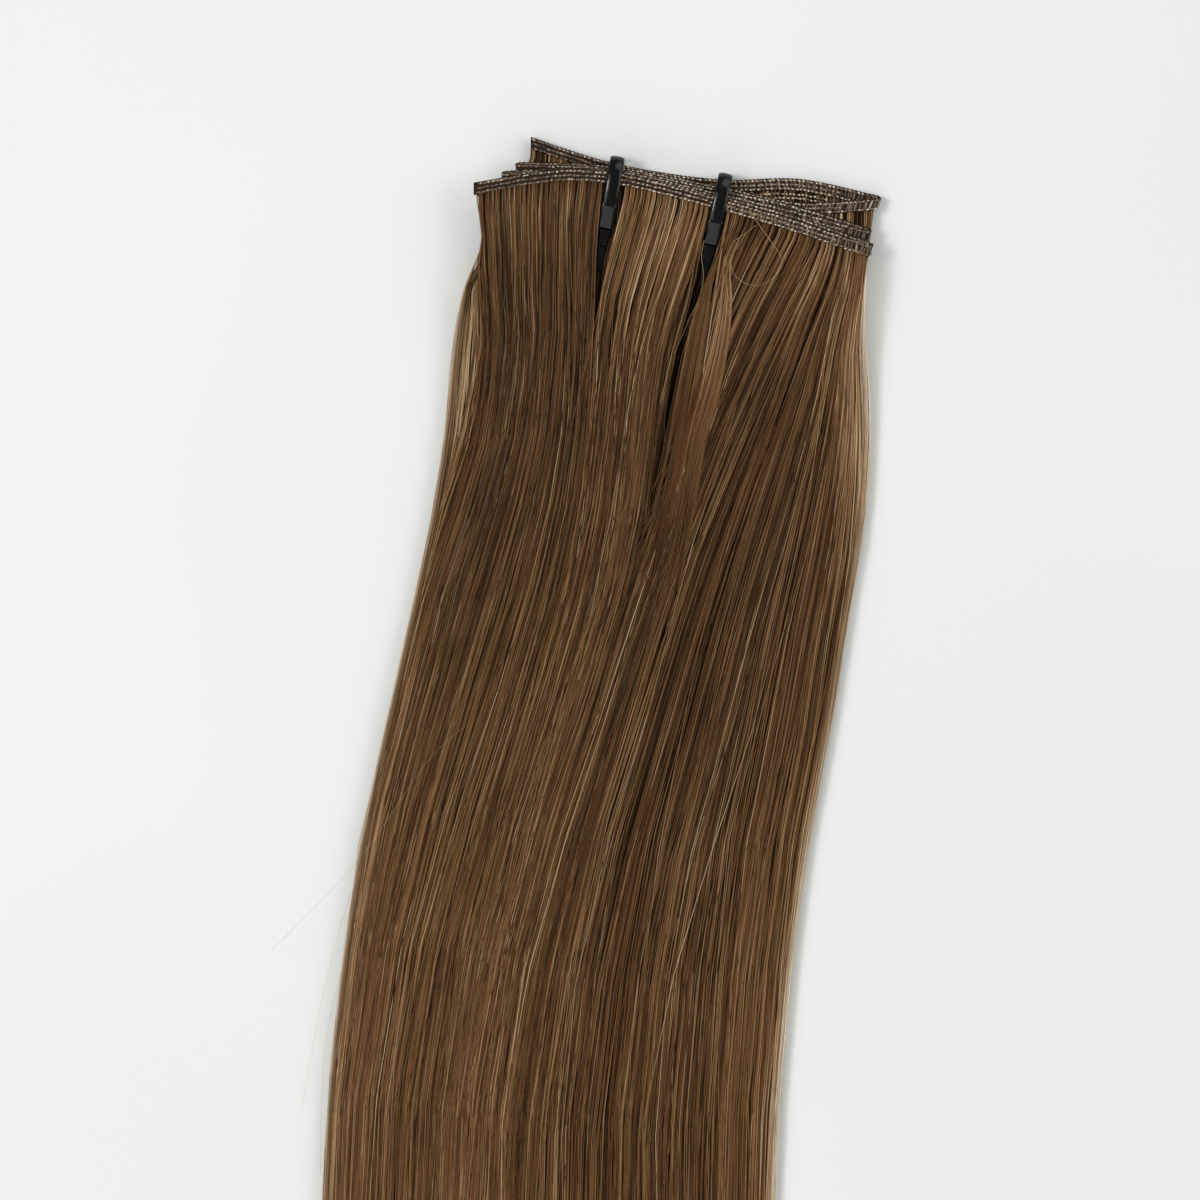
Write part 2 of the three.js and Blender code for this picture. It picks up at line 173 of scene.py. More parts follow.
# How unevenly the turns lie along the strip, up and down, and aslant, and their tints and palest one
TURN_JITTER = 0.3
TURN_SCATTER = 0.15
TURN_SLANT = 0.3
TURN_TINT = 0.28
TURN_TONES = 0.2
TURN_PALEST = 0.75

# Distances down a hair at which its path bends, close together near the weft, as shares of its length
BENDS = (0, 1.5, 5, 11, 18, 27, 38, 50, 64, 82, 104, 130, 160, 195, 235, 280, 335, 400)
STATIONS = np.array(BENDS) / HAIR_LENGTH

# How much of the right tress's fan is reached, at distances from the weft in millimetres
FAN_DISTANCES = (0.0, 9.0, 18.0, 27.0, 41.0, 47.0, 55.0, 65.0, 75.0, 400.0)
FAN_SHARES = (0.0, 0.085, 0.19, 0.31, 0.57, 0.69, 0.81, 0.93, 1.0, 1.0)

# How strongly the front hair sweeps to the left side lower down, and the share of the width where that ends
SWEEP = 0.75
SWEEP_END = 0.85
SWEEP_POWER = 1.2

# Hairs that stray from the rest: stations down them, tint, height from which they are drawn thicker, and for
# each hair the heights of both ends and its points on the table, in millimetres
STRAY_RUN = np.linspace(0.0, 1.0, 20)
STRAY_TINT = 0.9
STRAY_HIGH = 7.0
STRAYS = (
    (
        (8.2, 9.3),
        ((32.4, 177.5), (33.3, 172.5), (37.0, 169.8), (41.0, 170.0), (44.5, 173.0), (45.4, 176.0))
        + ((43.4, 179.5), (40.5, 183.5), (37.5, 188.0), (35.8, 192.8)),
    ),
    ((8.8, 8.0), ((38.8, 184.6), (36.0, 182.4), (33.2, 180.4), (31.5, 176.5), (29.8, 170.0))),
    (
        (6.5, 6.5),
        ((-33.5, 60.0), (-41.8, 52.5), (-50.3, 40.5), (-56.8, 31.0))
        + ((-61.0, 25.5), (-73.0, 12.8), (-82.0, 3.8)),
    ),
    ((1.2, 1.2), ((-62.5, 17.3), (-66.8, 2.8), (-70.5, -13.8), (-74.5, -35.3))),
    ((1.2, 1.2), ((-64.8, -2.0), (-68.0, -16.5), (-69.5, -31.0), (-69.8, -51.8))),
    ((8.4, 8.0), ((36.5, 183.0), (34.5, 179.5), (32.8, 177.0), (31.0, 171.0), (29.0, 163.0), (26.0, 150.0))),
    ((7.9, 7.7), ((26.0, 181.0), (25.3, 177.0), (25.8, 172.0), (24.8, 166.0), (22.0, 156.0))),
    ((7.9, 7.7), ((24.2, 179.0), (23.2, 173.0), (21.8, 166.0), (18.5, 155.0), (15.0, 140.0))),
)

# Locks that lie over the others: number of hairs, level above the front layer's foot, range of tints, and
# points of x, y and half width, in millimetres
LOCKS = (
    (
        120,
        1.45,
        (0.45, 0.9),
        ((37.4, 185.5, 0.2), (33.2, 179.5, 0.4), (31.7, 174.5, 0.7), (31.4, 166.0, 1.5), (30.0, 156.0, 2.1))
        + ((27.8, 146.0, 2.5), (25.1, 136.0, 2.6), (23.0, 126.0, 2.6), (19.0, 105.0, 3.0), (14.0, 80.0, 3.5)),
    ),
    (
        80,
        1.35,
        (0.42, 0.66),
        ((34.0, 187.0, 0.4), (30.6, 180.0, 0.6), (27.6, 172.0, 0.9), (25.0, 161.0, 2.0))
        + ((22.8, 150.0, 2.2), (18.5, 126.0, 2.5), (13.0, 100.0, 3.0), (6.0, 70.0, 3.5)),
    ),
    (
        40,
        1.5,
        (0.02, 0.13),
        ((26.8, 157.0, 0.4), (24.6, 146.0, 1.0), (21.5, 134.0, 1.2))
        + ((19.0, 124.0, 1.2), (14.0, 104.0, 1.5), (9.0, 80.0, 2.0)),
    ),
)

# The shaded core: columns across a tress, stations down it, shares left free at a tress's sides, how much
# shorter than the hair it is, its lowest Z and its least thickness
CORE_COLUMNS = 18
CORE_RUN = (np.arange(17) / 16) ** 1.7
CORE_AT_WEFT = 0.015
CORE_INSIDE = 0.06
CORE_CLOSED = 0.005
CORE_SHORTER = (22.0, 32.0)
BACKING_TIP_Y = 168.0
CORE_FLOOR = 0.03
CORE_FLOOR_LOWEST = 0.3
CORE_LEAST = 0.05
# Levels of the core's two sides at the weft and further down, and the depth of its grooves, in layers
CORE_ROOT_LEVELS = (0.15, 0.3)
CORE_FOOT = 0.05
CORE_TOP = 0.45
BACKING_TOP = 0.1
CORE_GROOVE = 0.15
# Distances down over which the core narrows and settles
CORE_NARROW_RANGE = (4.0, 20.0)
CORE_SETTLE_RANGE = (2.0, 16.0)
# How far the roots reach up under the strip, and the distance down at which that ends
CORE_TUCK = 1.2
HAIR_TUCK = 1.1
TUCK_LENGTH = 1.4

# How the hairs of a tress are shared out: the share that starts evenly, how much a fan crowds the others
# together, the shares that lie free and stray, and the share of the lowest hairs that lies under the core
EVEN_SHARE = 0.27
FAN_CROWD = 0.9
FREE_SHARE = 0.25
STRAY_SHARE = 0.02
UNDER_SHARE = 0.45
# Locks: scatter and drift in lock widths, how tightly they gather, half widths in millimetres, and scatter of
# the lines where their strands meet
LOCK_SCATTER = 0.12
LOCK_DRIFT = 0.4
LOCK_TIGHTNESS = (0.78, 1.1)
LOCK_HALF_WIDTHS = (0.3, 6.0)
GATHER_HALF_WIDTH = 0.9
CUT_SCATTER = 0.35
STRAND_FILL = 0.46
# How narrow the bundles are at the weft, as a share of their lock
FRONT_COMB = 0.6
INNER_COMB = 0.85
# Distances down in millimetres, over which the hair leaves its bundles, rises, settles, drifts, gathers,
# loosens, opens and closes the gaps, draws in from the outline, and sweeps to the left
BUNDLE_RANGE = (0.5, 8.0)
RISE_RANGE = (1.0, 16.0)
SETTLE_RANGE = (4.0, 60.0)
DRIFT_RANGE = (6.0, 70.0)
GATHER_RANGE = (12.0, 45.0)
LOOSEN_RANGE = (110.0, 200.0)
LOOSEN = 0.6
GAP_RANGE = (0.0, 34.0, 46.0, 100.0)
INSIDE_RANGE = (20.0, 60.0)
INSIDE_STEP = 0.28
SWEEP_RANGE = (50.0, 230.0)
# Waves of locks and hairs, and how far free, held and stray hairs wander, in millimetres
LOCK_SWING = 0.5
SWING_LENGTH = 60.0
HAIR_WAVES = (32.0, 70.0)
FREE_REACH = (0.3, 1.6)
HELD_REACH = 0.12
STRAY_REACH = (2.0, 5.0)
# How round locks and strands are, how much strands and locks differ in level, how deep a hair can lie among
# the others, how far strays lie over them, and the level of a layer's lowest hair, in layers
LOCK_ROUNDING = 0.8
STRAND_ROUNDING = 0.35
STRAND_STEP = 0.14
LOCK_STEP = 0.15
HAIR_DEPTH = 0.6
STRAY_OVER = 0.12
HAIR_FOOT = 0.2
# Ripple of a hair's level, in layers, and its length in millimetres
HAIR_RIPPLE = 0.05
RIPPLE_LENGTH = 23.0
# Levels of the roots, and of the hairs under the core, in layers, and the lowest Z in hair widths
ROOT_LEVELS = (0.2, 0.6)
UNDER_LEVELS = (-0.1, 0.1)
HAIR_FLOOR = 0.6
# How much shorter than the longest ones locks are at most, and hairs are on average and at most
LOCK_SHORTER = 12.0
HAIR_SHORTER = 9.0
HAIR_SHORTEST = 60.0
# Widths of hairs against the drawn one, and height of a hair against its width
HAIR_GIRTHS = (0.65, 1.2)
STRAY_GIRTH = 0.65
UNDER_GIRTH = 2.0
TIP_GIRTH = 0.4
INNER_GIRTH = 1.3
HAIR_FLATNESS = 0.8

# Tints: the middle one, how much locks, strands and hairs differ, the least one, the reddish ones below it,
# and the tint that a hair has to be darker than to turn reddish
MIDDLE_TINT = 0.445
LOCK_TONES = 0.015
STRAND_TONES = 0.03
HAIR_TONES = 0.195
LEAST_TINT = 0.2
RED_TINTS = (0.0, 0.15)
RED_BELOW = 0.7
# Shares of strands with reddish hairs, of such hairs in them, and of single reddish hairs
RED_STRANDS = 0.055
RED_IN_STRAND = 0.6
RED_HAIRS = 0.07
# How much lighter or darker the hair looks, at distances down from the weft
TONE_DOWN = ((0.0, 15.0, 40.0, 90.0, 140.0, 190.0), (0.05, 0.05, -0.04, -0.055, 0.01, 0.055))
# How much darker the sides of locks and strands are, how much of that is everywhere and how much only in a
# range of distances down
LOCK_SHADE = 0.08
STRAND_SHADE = 0.34
SHADE_SHARES = (0.65, 1.35)
SHADED_RANGE = (8.0, 35.0, 110.0, 200.0)
# How much and how quickly a hair's tint wavers, and how little hairs differ low down
WAVER = 0.15
WAVER_LENGTHS = (4.0, 12.0)
LOW_TONES = 0.72
LOW_RANGE = (120.0, 220.0)
# Where the lift of the tint at the weft starts to end
LIFT_START = 8.0
# How a stray hair catches the light: strength, length, and places down it
GLINT = 0.2
GLINT_LENGTH = 22.0
GLINT_PLACES = (10.0, 330.0)
# Where light shows through the edges: from which distance down, at the left its strength and width outside
# and inside the bulge there, and at the right both at places along Y
CLEAR_RANGE = (8.0, 40.0)
BULGE_Y = (95.0, 135.0)
LEFT_RIM = (0.3, 0.55)
LEFT_RIM_WIDTH = (2.0, 9.0)
RIGHT_RIM = ((-60.0, 20.0, 60.0, 105.0, 130.0), (0.6, 0.5, 0.25, 0.4, 0.93))
RIGHT_RIM_WIDTH = ((90.0, 130.0), (1.8, 3.6))

# Tresses of the front layer: name, share of the hairs, how much lighter they are at the weft and where that
# ends, and their layout
FRONT_TRESSES = (
    ("left", 0.37, (-0.12, 120.0), {}),
    ("middle", 0.25, (0.09, 42.0), {"fan": 1.3, "gaps": (0.0, 0.15)}),
    ("right", 0.38, (-0.02, 60.0), {"fan": 4.3, "gaps": (0.12, 0.0), "strands": 9}),
)
FRONT_FILL = 1.25
# Tresses of the inner layers: share of the hairs, how they crowd, and how much more each layer fans out than
# the one below. Then the layers' numbers of hairs against the setting.
INNER_TRESSES = ((0.4, 1.7, 0.0), (0.2, 1.0, 0.0), (0.4, 0.8, 0.35))
INNER_COUNTS = (1.4, 1.0, 1.0, 1.0, 3.0)
INNER_LIFT = (0.14, 30.0)

# Single locks: stations down them, and how far their hairs' starts and ends are spread
LOCK_RUN = np.linspace(0.0, 1.0, 18)
LOCK_STARTS = 15.0
LOCK_ENDS = 30.0

# Thin hairs at the edges: their number, Y of their starts at the left and right, how far out they lie at
# most, their lowest Z, and how pale the right ones are at places along Y
EDGE_HAIRS = 300
EDGE_START_Y = (181.0, 176.0)
EDGE_FURTHEST = 0.9
EDGE_FLOOR = 0.3
RIGHT_EDGE_PALE = ((0.0, 70.0, 110.0, 140.0), (0.9, 0.4, 0.5, 0.9))

# The cable ties, in millimetres: where each loop's top end lies and how many degrees it leans
TIES = {"left": (4.5, 202.0, 10.0), "right": (31.5, 197.75, 12.5)}
TIE_WIDTH = 3.6
TIE_THICKNESS = 1.1
TIE_TOP = 9.55
TIE_CORNER = 2.2
TIE_BOW = (6.5, 4.0)
TIE_BEND = (12.8, 8.9)
TIE_LOOP_END = (20.4, 6.8)
TIE_RETURN_START = 16.0
TIE_BULGE = 2.2
TIE_SHARP_ANGLE = math.radians(40.0)
# Upper face of the strap from the bow until it is inside the head: distance from the loop's top, and height
TIE_FRONT = ((TIE_BOW[0], TIE_TOP), (8.5, 9.5), (10.5, 9.3), TIE_BEND, (14.5, 8.0), (TIE_LOOP_END[0], 6.0))
# Points round a corner, and how much further its rounding reaches across the face than down the side
CORNER_POINTS = 6
STRAP_ROUNDING = 2.8
HEAD_ROUNDING = 1.3
# Stations down the head: distance, width, rise above the strap's slope, depth, and corner in edge radii
TIE_HEAD = (
    (12.2, 3.5, -0.1, 2.3, 0.8),
    (12.7, 3.75, 0.06, 2.5, 1.0),
    (12.9, 3.8, 0.1, 2.5, 1.0),
    (18.0, 3.75, 0.1, 2.5, 1.0),
    (18.3, 3.7, -0.1, 2.5, 1.0),
    (18.7, 3.5, -0.5, 2.5, 1.0),
    (20.7, 3.15, -0.2, 2.5, 1.0),
    (21.2, 2.9, -0.4, 2.4, 0.8),
    (21.4, 2.6, -0.75, 2.2, 0.6),
)
# The grained face of the head: its ends, half width, and rise above the strap's slope
GRAIN_ENDS = (12.95, 18.05)
GRAIN_HALF_WIDTH = 1.2
GRAIN_RISE = 0.1
# Stations down the tail: distance, width, and rise above the tail's slope. Then the distance and height where
# that slope starts, the slope, and the tail's depth and corner.
TIE_TAIL = (
    (20.8, 2.4, 0.0),
    (22.0, 2.4, 0.0),
    (22.25, 2.4, 0.3),
    (22.75, 2.3, 0.3),
    (23.0, 2.2, 0.0),
    (26.0, 1.5, 0.0),
    (29.2, 0.8, 0.0),
    (29.6, 0.5, -0.15),
)
TAIL_START = (21.0, 6.6)
TAIL_SLOPE = math.tan(math.radians(7.0))
TAIL_DEPTH = 0.9
TAIL_CORNER = 0.22

# Soft boxes round the table: name, place and side in metres, and power in watts. Then the place they face.
LIGHTS = (
    ("window_left", (-1.0, 0.2, 1.4), 1.3, 8.5),
    ("lamp_left", (-1.0, 0.35, 1.4), 0.4, 9.0),
    ("soft_box_right", (1.4, 0.3, 1.0), 1.1, 9.0),
    ("soft_box_front", (-0.5, -1.4, 1.0), 1.1, 7.5),
    ("soft_box_back", (0.8, 1.4, 0.9), 1.2, 7.0),
)
LIGHT_AIM = (0.0, 0.09, 0.0)
ROOM_COLOUR = (0.97, 0.985, 0.98, 1.0)
ROOM_STRENGTH = 0.3
# How far the table lies under the part and the width of the camera's sensor, in millimetres, and how far the
# camera sees, in metres
TABLE_DROP = 0.02
SENSOR_WIDTH = 36.0
CAMERA_REACH = 20.0

# A UV map of hairs and threads: tints across it, places along them up it, and a step for each side
MAP_MARGIN = 0.02
MAP_WIDTH = 0.95
MAP_HEIGHT = 0.96
MAP_SIDE = 0.004


def smoothstep(value, low, high):
    share = np.clip((value - low) / (high - low), 0.0, 1.0)
    return share * share * (3.0 - 2.0 * share)


def hump(value, rise_start, rise_end, fall_start, fall_end):
    """Goes from 0 to 1 over the first range, and back to 0 over the second."""
    return smoothstep(value, rise_start, rise_end) * (1.0 - smoothstep(value, fall_start, fall_end))


def lerp(start, end, share):
    return start + (end - start) * share


def cubic_through(places, values, at):
    """A smooth curve through the values, whose slope at each place is the mean of its two sides."""
    places = np.asarray(places, float)
    values = np.asarray(values, float)
    at = np.clip(at, places[0], places[-1])
    rise = np.diff(values) / np.diff(places)
    slope = np.concatenate([rise[:1], (rise[1:] + rise[:-1]) / 2, rise[-1:]])
    first = np.clip(np.searchsorted(places, at, side="right") - 1, 0, len(places) - 2)
    gap = places[first + 1] - places[first]
    t = (at - places[first]) / gap
    return (
        values[first] * (2 * t**3 - 3 * t**2 + 1)
        + slope[first] * gap * (t**3 - 2 * t**2 + t)
        + values[first + 1] * (3 * t**2 - 2 * t**3)
        + slope[first + 1] * gap * (t**3 - t**2)
    )


def outline(y):
    return [cubic_through(SECTIONS[:, 0], SECTIONS[:, column], y) for column in range(1, 5)]


def top_edge(layer, x):
    """Y of a weft layer's top edge."""
    places = (layer["left_x"], *WEFT_KNOT_X, layer["right_x"])
    values = [layer[name] for name in ("left_y", "y1", "y2", "y3", "y4", "right_y")]
    return cubic_through(places, values, x)


def below_weft(x, y):
    return top_edge(LAYERS[FRONT], x) - WEFT_HEIGHT - y


def stack_z(x, y, level):
    """Z of a level in the stack, counted in layers."""
    below = below_weft(x, y)
    left, _, _, right = outline(y)
    across = np.clip((x - left) / (right - left), 0.0, 1.0)
    settled = smoothstep(below, 0.0, LIFT_FADE)
    crown = lerp(1.0, lerp(EDGE_CROWN, 1.0, np.sin(np.pi * across) ** CROWN_POWER), settled)
    taper = lerp(1.0, TIP_TAPER, smoothstep(below, TAPER_START, TAPER_END))
    return WEFT_LIFT * (1.0 - settled) + level * LAYER_PITCH * crown * taper


def part_half_width(x, y):
    """Half the width of the opening that a tie passes through."""
    return lerp(PART_HALF_WIDTH, PART_CLOSED_HALF_WIDTH, smoothstep(below_weft(x, y), *PART_CLOSE))


def inner_half_width(x, y):
    """The same under the strap, where the hair only gives way to the tie's head and return."""
    return lerp(INNER_HALF_WIDTH, HEAD_HALF_WIDTH, hump(below_weft(x, y), *HEAD_ROOM))


def opening_of(index):
    """The function for half the width of a layer's openings."""
    return part_half_width if index >= OPEN_LAYER else inner_half_width


def column_x(index, tress, share, y, down):
    """X of a layer's hairs, by share of the way across their tress and distance down from their roots."""
    layer, opening = LAYERS[index], opening_of(index)
    left, left_part, right_part, right = outline(y)
    spread = smoothstep(down, 0.0, SPREAD_LENGTH)
    inset = hump(-y, *-INSET_Y)
    left = lerp(layer["left_x"], left + layer["left_in"] * inset, spread)
    root = layer["right_x"] - WEFT_LEAN * WEFT_HEIGHT
    right = lerp(root, right - layer["right_in"] * inset, spread)
    sides = np.stack([left, left_part, right_part, right])
    pick = np.arange(len(tress))
    start = sides[tress, pick]
    end = sides[tress + 1, pick]
    tress = tress[:, None]
    start = start + np.choose(tress, PART_SHARES[0]) * opening(start, y)
    end = end - np.choose(tress, PART_SHARES[1]) * opening(end, y)
    return lerp(start, end, share)


def flow_lines(index, tress, share, tip_y, run):
    """X, Y and distance down from the root, along hairs of one layer, at shares of their length.
    The share of the way across the tress is an array of (hairs, points), and the tips' Y is a column."""
    layer = LAYERS[index]
    y = np.full((len(tress), 1), layer["y2"] - WEFT_HEIGHT)
    # A few rounds find the root, since its X follows from its Y and its Y from the weft's edge at that X
    for _ in range(3):
        root_x = column_x(index, tress, share[:, :1], y, 0.0 * y)
        y = top_edge(layer, root_x) - WEFT_HEIGHT - ROOT_GAP
    rows = lerp(y, tip_y, run)
    down = y - rows
    return column_x(index, tress, share, rows, down), rows, down


def new_piece(name, vertices, faces, smooth=True):
    """A mesh object from arrays of vertices in millimetres and of faces with the same number of corners."""
    mesh = bpy.data.meshes.new(name)
    sides = faces.shape[1]
    mesh.vertices.add(len(vertices))
    mesh.vertices.foreach_set("co", (np.asarray(vertices, np.float32) * MM).ravel())
    mesh.loops.add(faces.size)
    mesh.loops.foreach_set("vertex_index", faces.astype(np.int32).ravel())
    mesh.polygons.add(len(faces))
    mesh.polygons.foreach_set("loop_start", np.arange(0, faces.size, sides, dtype=np.int32))
    mesh.polygons.foreach_set("use_smooth", np.full(len(faces), smooth))
    mesh.update(calc_edges=True)
    if mesh.validate():
        raise RuntimeError(f"{name} has faces that are not sound")
    piece = bpy.data.objects.new(name, mesh)
    bpy.context.scene.collection.objects.link(piece)
    return piece


def finish_piece(piece, material, slot, *replaced):
    piece.data.materials.append(material)
    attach(piece, BODY)
    if replaced:
        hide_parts(*replaced)
    return piece


def ring_faces(rings, sides, closed):
    """Triangles of a skin over rings of points, capped at both ends or closed round on itself."""
    start = np.arange(rings if closed else rings - 1)[:, None] * sides
    side = np.arange(sides)[None, :]
    a, b = start + side, start + (side + 1) % sides
    c, d = (a + sides) % (rings * sides), (b + sides) % (rings * sides)
    walls = np.stack([a, b, d, a, d, c], axis=-1).reshape(-1, 3)
    if closed:
        return walls
    fan = np.array([[0, k + 1, k] for k in range(1, sides - 1)])
    return np.concatenate([walls, fan, (rings - 1) * sides + fan[:, ::-1]])


def skin(rings, closed=False):
    """Vertices and triangles of a skin over rings of points, from an array of shape (rings, sides, 3)."""
    count, sides, _ = rings.shape
    return rings.reshape(-1, 3), ring_faces(count, sides, closed)


def joined(parts):
    """Vertices and faces of several meshes as one."""
    vertices, faces = zip(*parts)
    before = np.cumsum([0] + [len(part) for part in vertices])
    return np.concatenate(vertices), np.concatenate([part + first for part, first in zip(faces, before)])


def stacked(parts):
    """Paths, widths and tints of several lots of hairs or threads as one lot."""
    return (np.concatenate(part) for part in zip(*parts))


def tube_arrays(paths, widths, heights, sides=3):
    """Vertices and triangles of closed tubes along paths of shape (tubes, points, 3)."""
    tubes, points, _ = paths.shape
    along = np.gradient(paths, axis=1)
    along /= np.linalg.norm(along, axis=2, keepdims=True)
    across = np.cross(along, (0.0, 0.0, 1.0))
    across /= np.maximum(np.linalg.norm(across, axis=2, keepdims=True), 1e-6)
    up = np.cross(across, along)
    angles = np.pi / 2 + 2 * np.pi * np.arange(sides) / sides
    ring = (
        across[:, :, None] * (np.cos(angles)[None, None, :, None] * widths[:, :, None, None] / 2)
        + up[:, :, None] * (np.sin(angles)[None, None, :, None] * heights[:, :, None, None] / 2)
    )
    vertices = (paths[:, :, None] + ring).reshape(-1, 3)
    one = ring_faces(points, sides, False)
    faces = (one[None] + (np.arange(tubes) * points * sides)[:, None, None]).reshape(-1, 3)
    return vertices, faces


def tube_piece(name, paths, widths, flatness, tint, run, sides=3):
    """Hairs or threads as one mesh, as high as a share of their width. Each point's tint is kept for the
    material. The tint and the place along are also laid out as a UV map, where the colour depends on
    nothing else."""
    vertices, faces = tube_arrays(paths, widths, flatness * widths, sides)
    piece = new_piece(name, vertices, faces)
    tints = np.repeat(tint.astype(np.float32).ravel(), sides)
    alongs = np.tile(np.repeat(run.astype(np.float32), sides), len(paths))
    mesh = piece.data
    mesh.attributes.new("tint", "FLOAT", "POINT").data.foreach_set("value", tints)
    corners = faces.ravel()
    across = MAP_MARGIN + MAP_WIDTH * tints[corners] + MAP_SIDE * (corners % sides)
    places = np.stack([across, MAP_MARGIN + MAP_HEIGHT * alongs[corners]], axis=1)
    mesh.uv_layers.new(name="OFBake").data.foreach_set("uv", places.astype(np.float32).ravel())
    return piece


def to_linear(colour):
    """Linear colour, with alpha 1, from an sRGB hex value such as 0x56402a."""
    parts = [((colour >> shift) & 255) / 255 for shift in (16, 8, 0)]
    return [p / 12.92 if p <= 0.04045 else ((p + 0.055) / 1.055) ** 2.4 for p in parts] + [1.0]


def hex_property(name, description, colour):
    """A colour property whose default is an sRGB hex value."""
    return bpy.props.FloatVectorProperty(
        name=name,
        description=description,
        subtype="COLOR",
        size=4,
        min=0.0,
        max=1.0,
        default=to_linear(colour),
    )


def size_property(name, description, millimetres):
    """A length property whose default is in millimetres."""
    return bpy.props.FloatProperty(
        name=name,
        description=description,
        default=millimetres * MM,
        min=0.0,
        subtype="DISTANCE",
        unit="LENGTH",
    )


def add_node(material, kind, settings=None, links=None):
    """Adds a node to a material, with its settings and input values by name, and links from other sockets.
    A colour ramp has its stops as a setting, each with a position and a colour."""
    tree = material.node_tree
    node = tree.nodes.new(kind)
    for key, value in (settings or {}).items():
        if key == "stops":
            elements = node.color_ramp.elements
            while len(elements) < len(value):
                elements.new(1.0)
            for element, stop in zip(elements, value):
                element.position, element.color = stop
        elif hasattr(node, key):
            setattr(node, key, value)
        else:
            node.inputs[key].default_value = value
    for key, socket in (links or {}).items():
        tree.links.new(socket, node.inputs[key])
    return node


def uneven_pattern(material, size, detail=2.0):
    """Soft light and dark spots over a piece, with their size along X, Y and Z in millimetres."""
    place = add_node(material, "ShaderNodeNewGeometry").outputs["Position"]
    scale = {"Scale": [1 / (value * MM) for value in size]}
    scaled = add_node(material, "ShaderNodeMapping", scale, {"Vector": place}).outputs["Vector"]
    values = {"Scale": 1.0, "Detail": detail}
    return add_node(material, "ShaderNodeTexNoise", values, {"Vector": scaled}).outputs["Fac"]


def new_material(name, settings, nodes):
    """A material with one Principled shader, where nodes makes what is linked to its sockets."""
    material = bpy.data.materials.new(name)
    material.use_nodes = True
    material.node_tree.nodes.clear()
    shader = add_node(material, "ShaderNodeBsdfPrincipled", settings, nodes(material))
    add_node(material, "ShaderNodeOutputMaterial", None, {"Surface": shader.outputs["BSDF"]})
    return material


def hair_material(colours):
    """Human hair, dyed brown: smooth, with a soft shine, and with hairs from near black to tan and red."""

    def nodes(material):
        tint = add_node(material, "ShaderNodeAttribute", {"attribute_name": "tint"}).outputs["Fac"]
        stops = (
            (0.0, colours.red_dark),
            (0.14, colours.red),
            (0.2, colours.deep),
            (0.45, colours.body),
            (0.64, colours.light),
            (0.82, colours.tan),
            (1.0, colours.pale),
        )
        colour = add_node(material, "ShaderNodeValToRGB", {"stops": stops}, {"Fac": tint})
        rough = add_node(material, "ShaderNodeMapRange", {"To Min": 0.5, "To Max": 0.38}, {"Value": tint})
        return {"Base Color": colour.outputs["Color"], "Roughness": rough.outputs["Result"]}

    # Keratin has an IOR of about 1.55. The cuticle's scales scatter and warm the shine, so its level is low.
    shine = {"IOR": 1.55, "Specular IOR Level": 0.24, "Specular Tint": to_linear(0xFFE6CC)}
    return new_material("dyed_human_hair", shine, nodes)


def edge_material(colours):
    """The few hairs at the edges: light passes through them, so they look pale gold."""

    def nodes(material):
        tint = add_node(material, "ShaderNodeAttribute", {"attribute_name": "tint"}).outputs["Fac"]
        stops = ((0.0, colours.light), (0.5, colours.edge), (1.0, colours.edge_pale))
        colour = add_node(material, "ShaderNodeValToRGB", {"stops": stops}, {"Fac": tint})
        rough = add_node(material, "ShaderNodeMapRange", {"To Min": 0.5, "To Max": 0.38}, {"Value": tint})
        return {"Base Color": colour.outputs["Color"], "Roughness": rough.outputs["Result"]}

    return new_material("thin_edge_hair", {"IOR": 1.55, "Specular IOR Level": 0.35}, nodes)


def core_material(colours):
    """The shaded hair deep in the layers: near black brown with streaks along the hair."""

    def nodes(material):
        # Streaks 0.5 mm wide and some 40 mm long
        streak = uneven_pattern(material, (0.5, 40.0, 2.0))
        stops = ((0.3, colours.shade), (0.7, colours.deep))
        colour = add_node(material, "ShaderNodeValToRGB", {"stops": stops}, {"Fac": streak})
        relief = {"Strength": 0.6, "Distance": 0.3 * MM}
        normal = add_node(material, "ShaderNodeBump", relief, {"Height": streak})
        return {"Base Color": colour.outputs["Color"], "Normal": normal.outputs["Normal"]}

    return new_material("shaded_inner_hair", {"Roughness": 0.8, "Specular IOR Level": 0.05}, nodes)


def weft_material(colours):
    """Hair ends bound side by side under machine stitches: fine upright fibres with dark gaps between."""

    def nodes(material):
        # Fibres 0.25 mm wide across the strip; real ones are 0.08 mm and would not show
        fibre = uneven_pattern(material, (0.25, 1.2, 1.0), 3.0)
        stops = ((0.34, colours.weft_dark), (0.52, colours.weft), (0.7, colours.weft_pale))
        colour = add_node(material, "ShaderNodeValToRGB", {"stops": stops}, {"Fac": fibre})
        relief = {"Strength": 0.7, "Distance": 0.2 * MM}
        normal = add_node(material, "ShaderNodeBump", relief, {"Height": fibre})
        rough = add_node(material, "ShaderNodeMapRange", {"To Min": 0.65, "To Max": 0.45}, {"Value": fibre})
        return {
            "Base Color": colour.outputs["Color"],
            "Normal": normal.outputs["Normal"],
            "Roughness": rough.outputs["Result"],
        }

    return new_material("stitched_hair_weft", {"IOR": 1.5, "Specular IOR Level": 0.12}, nodes)


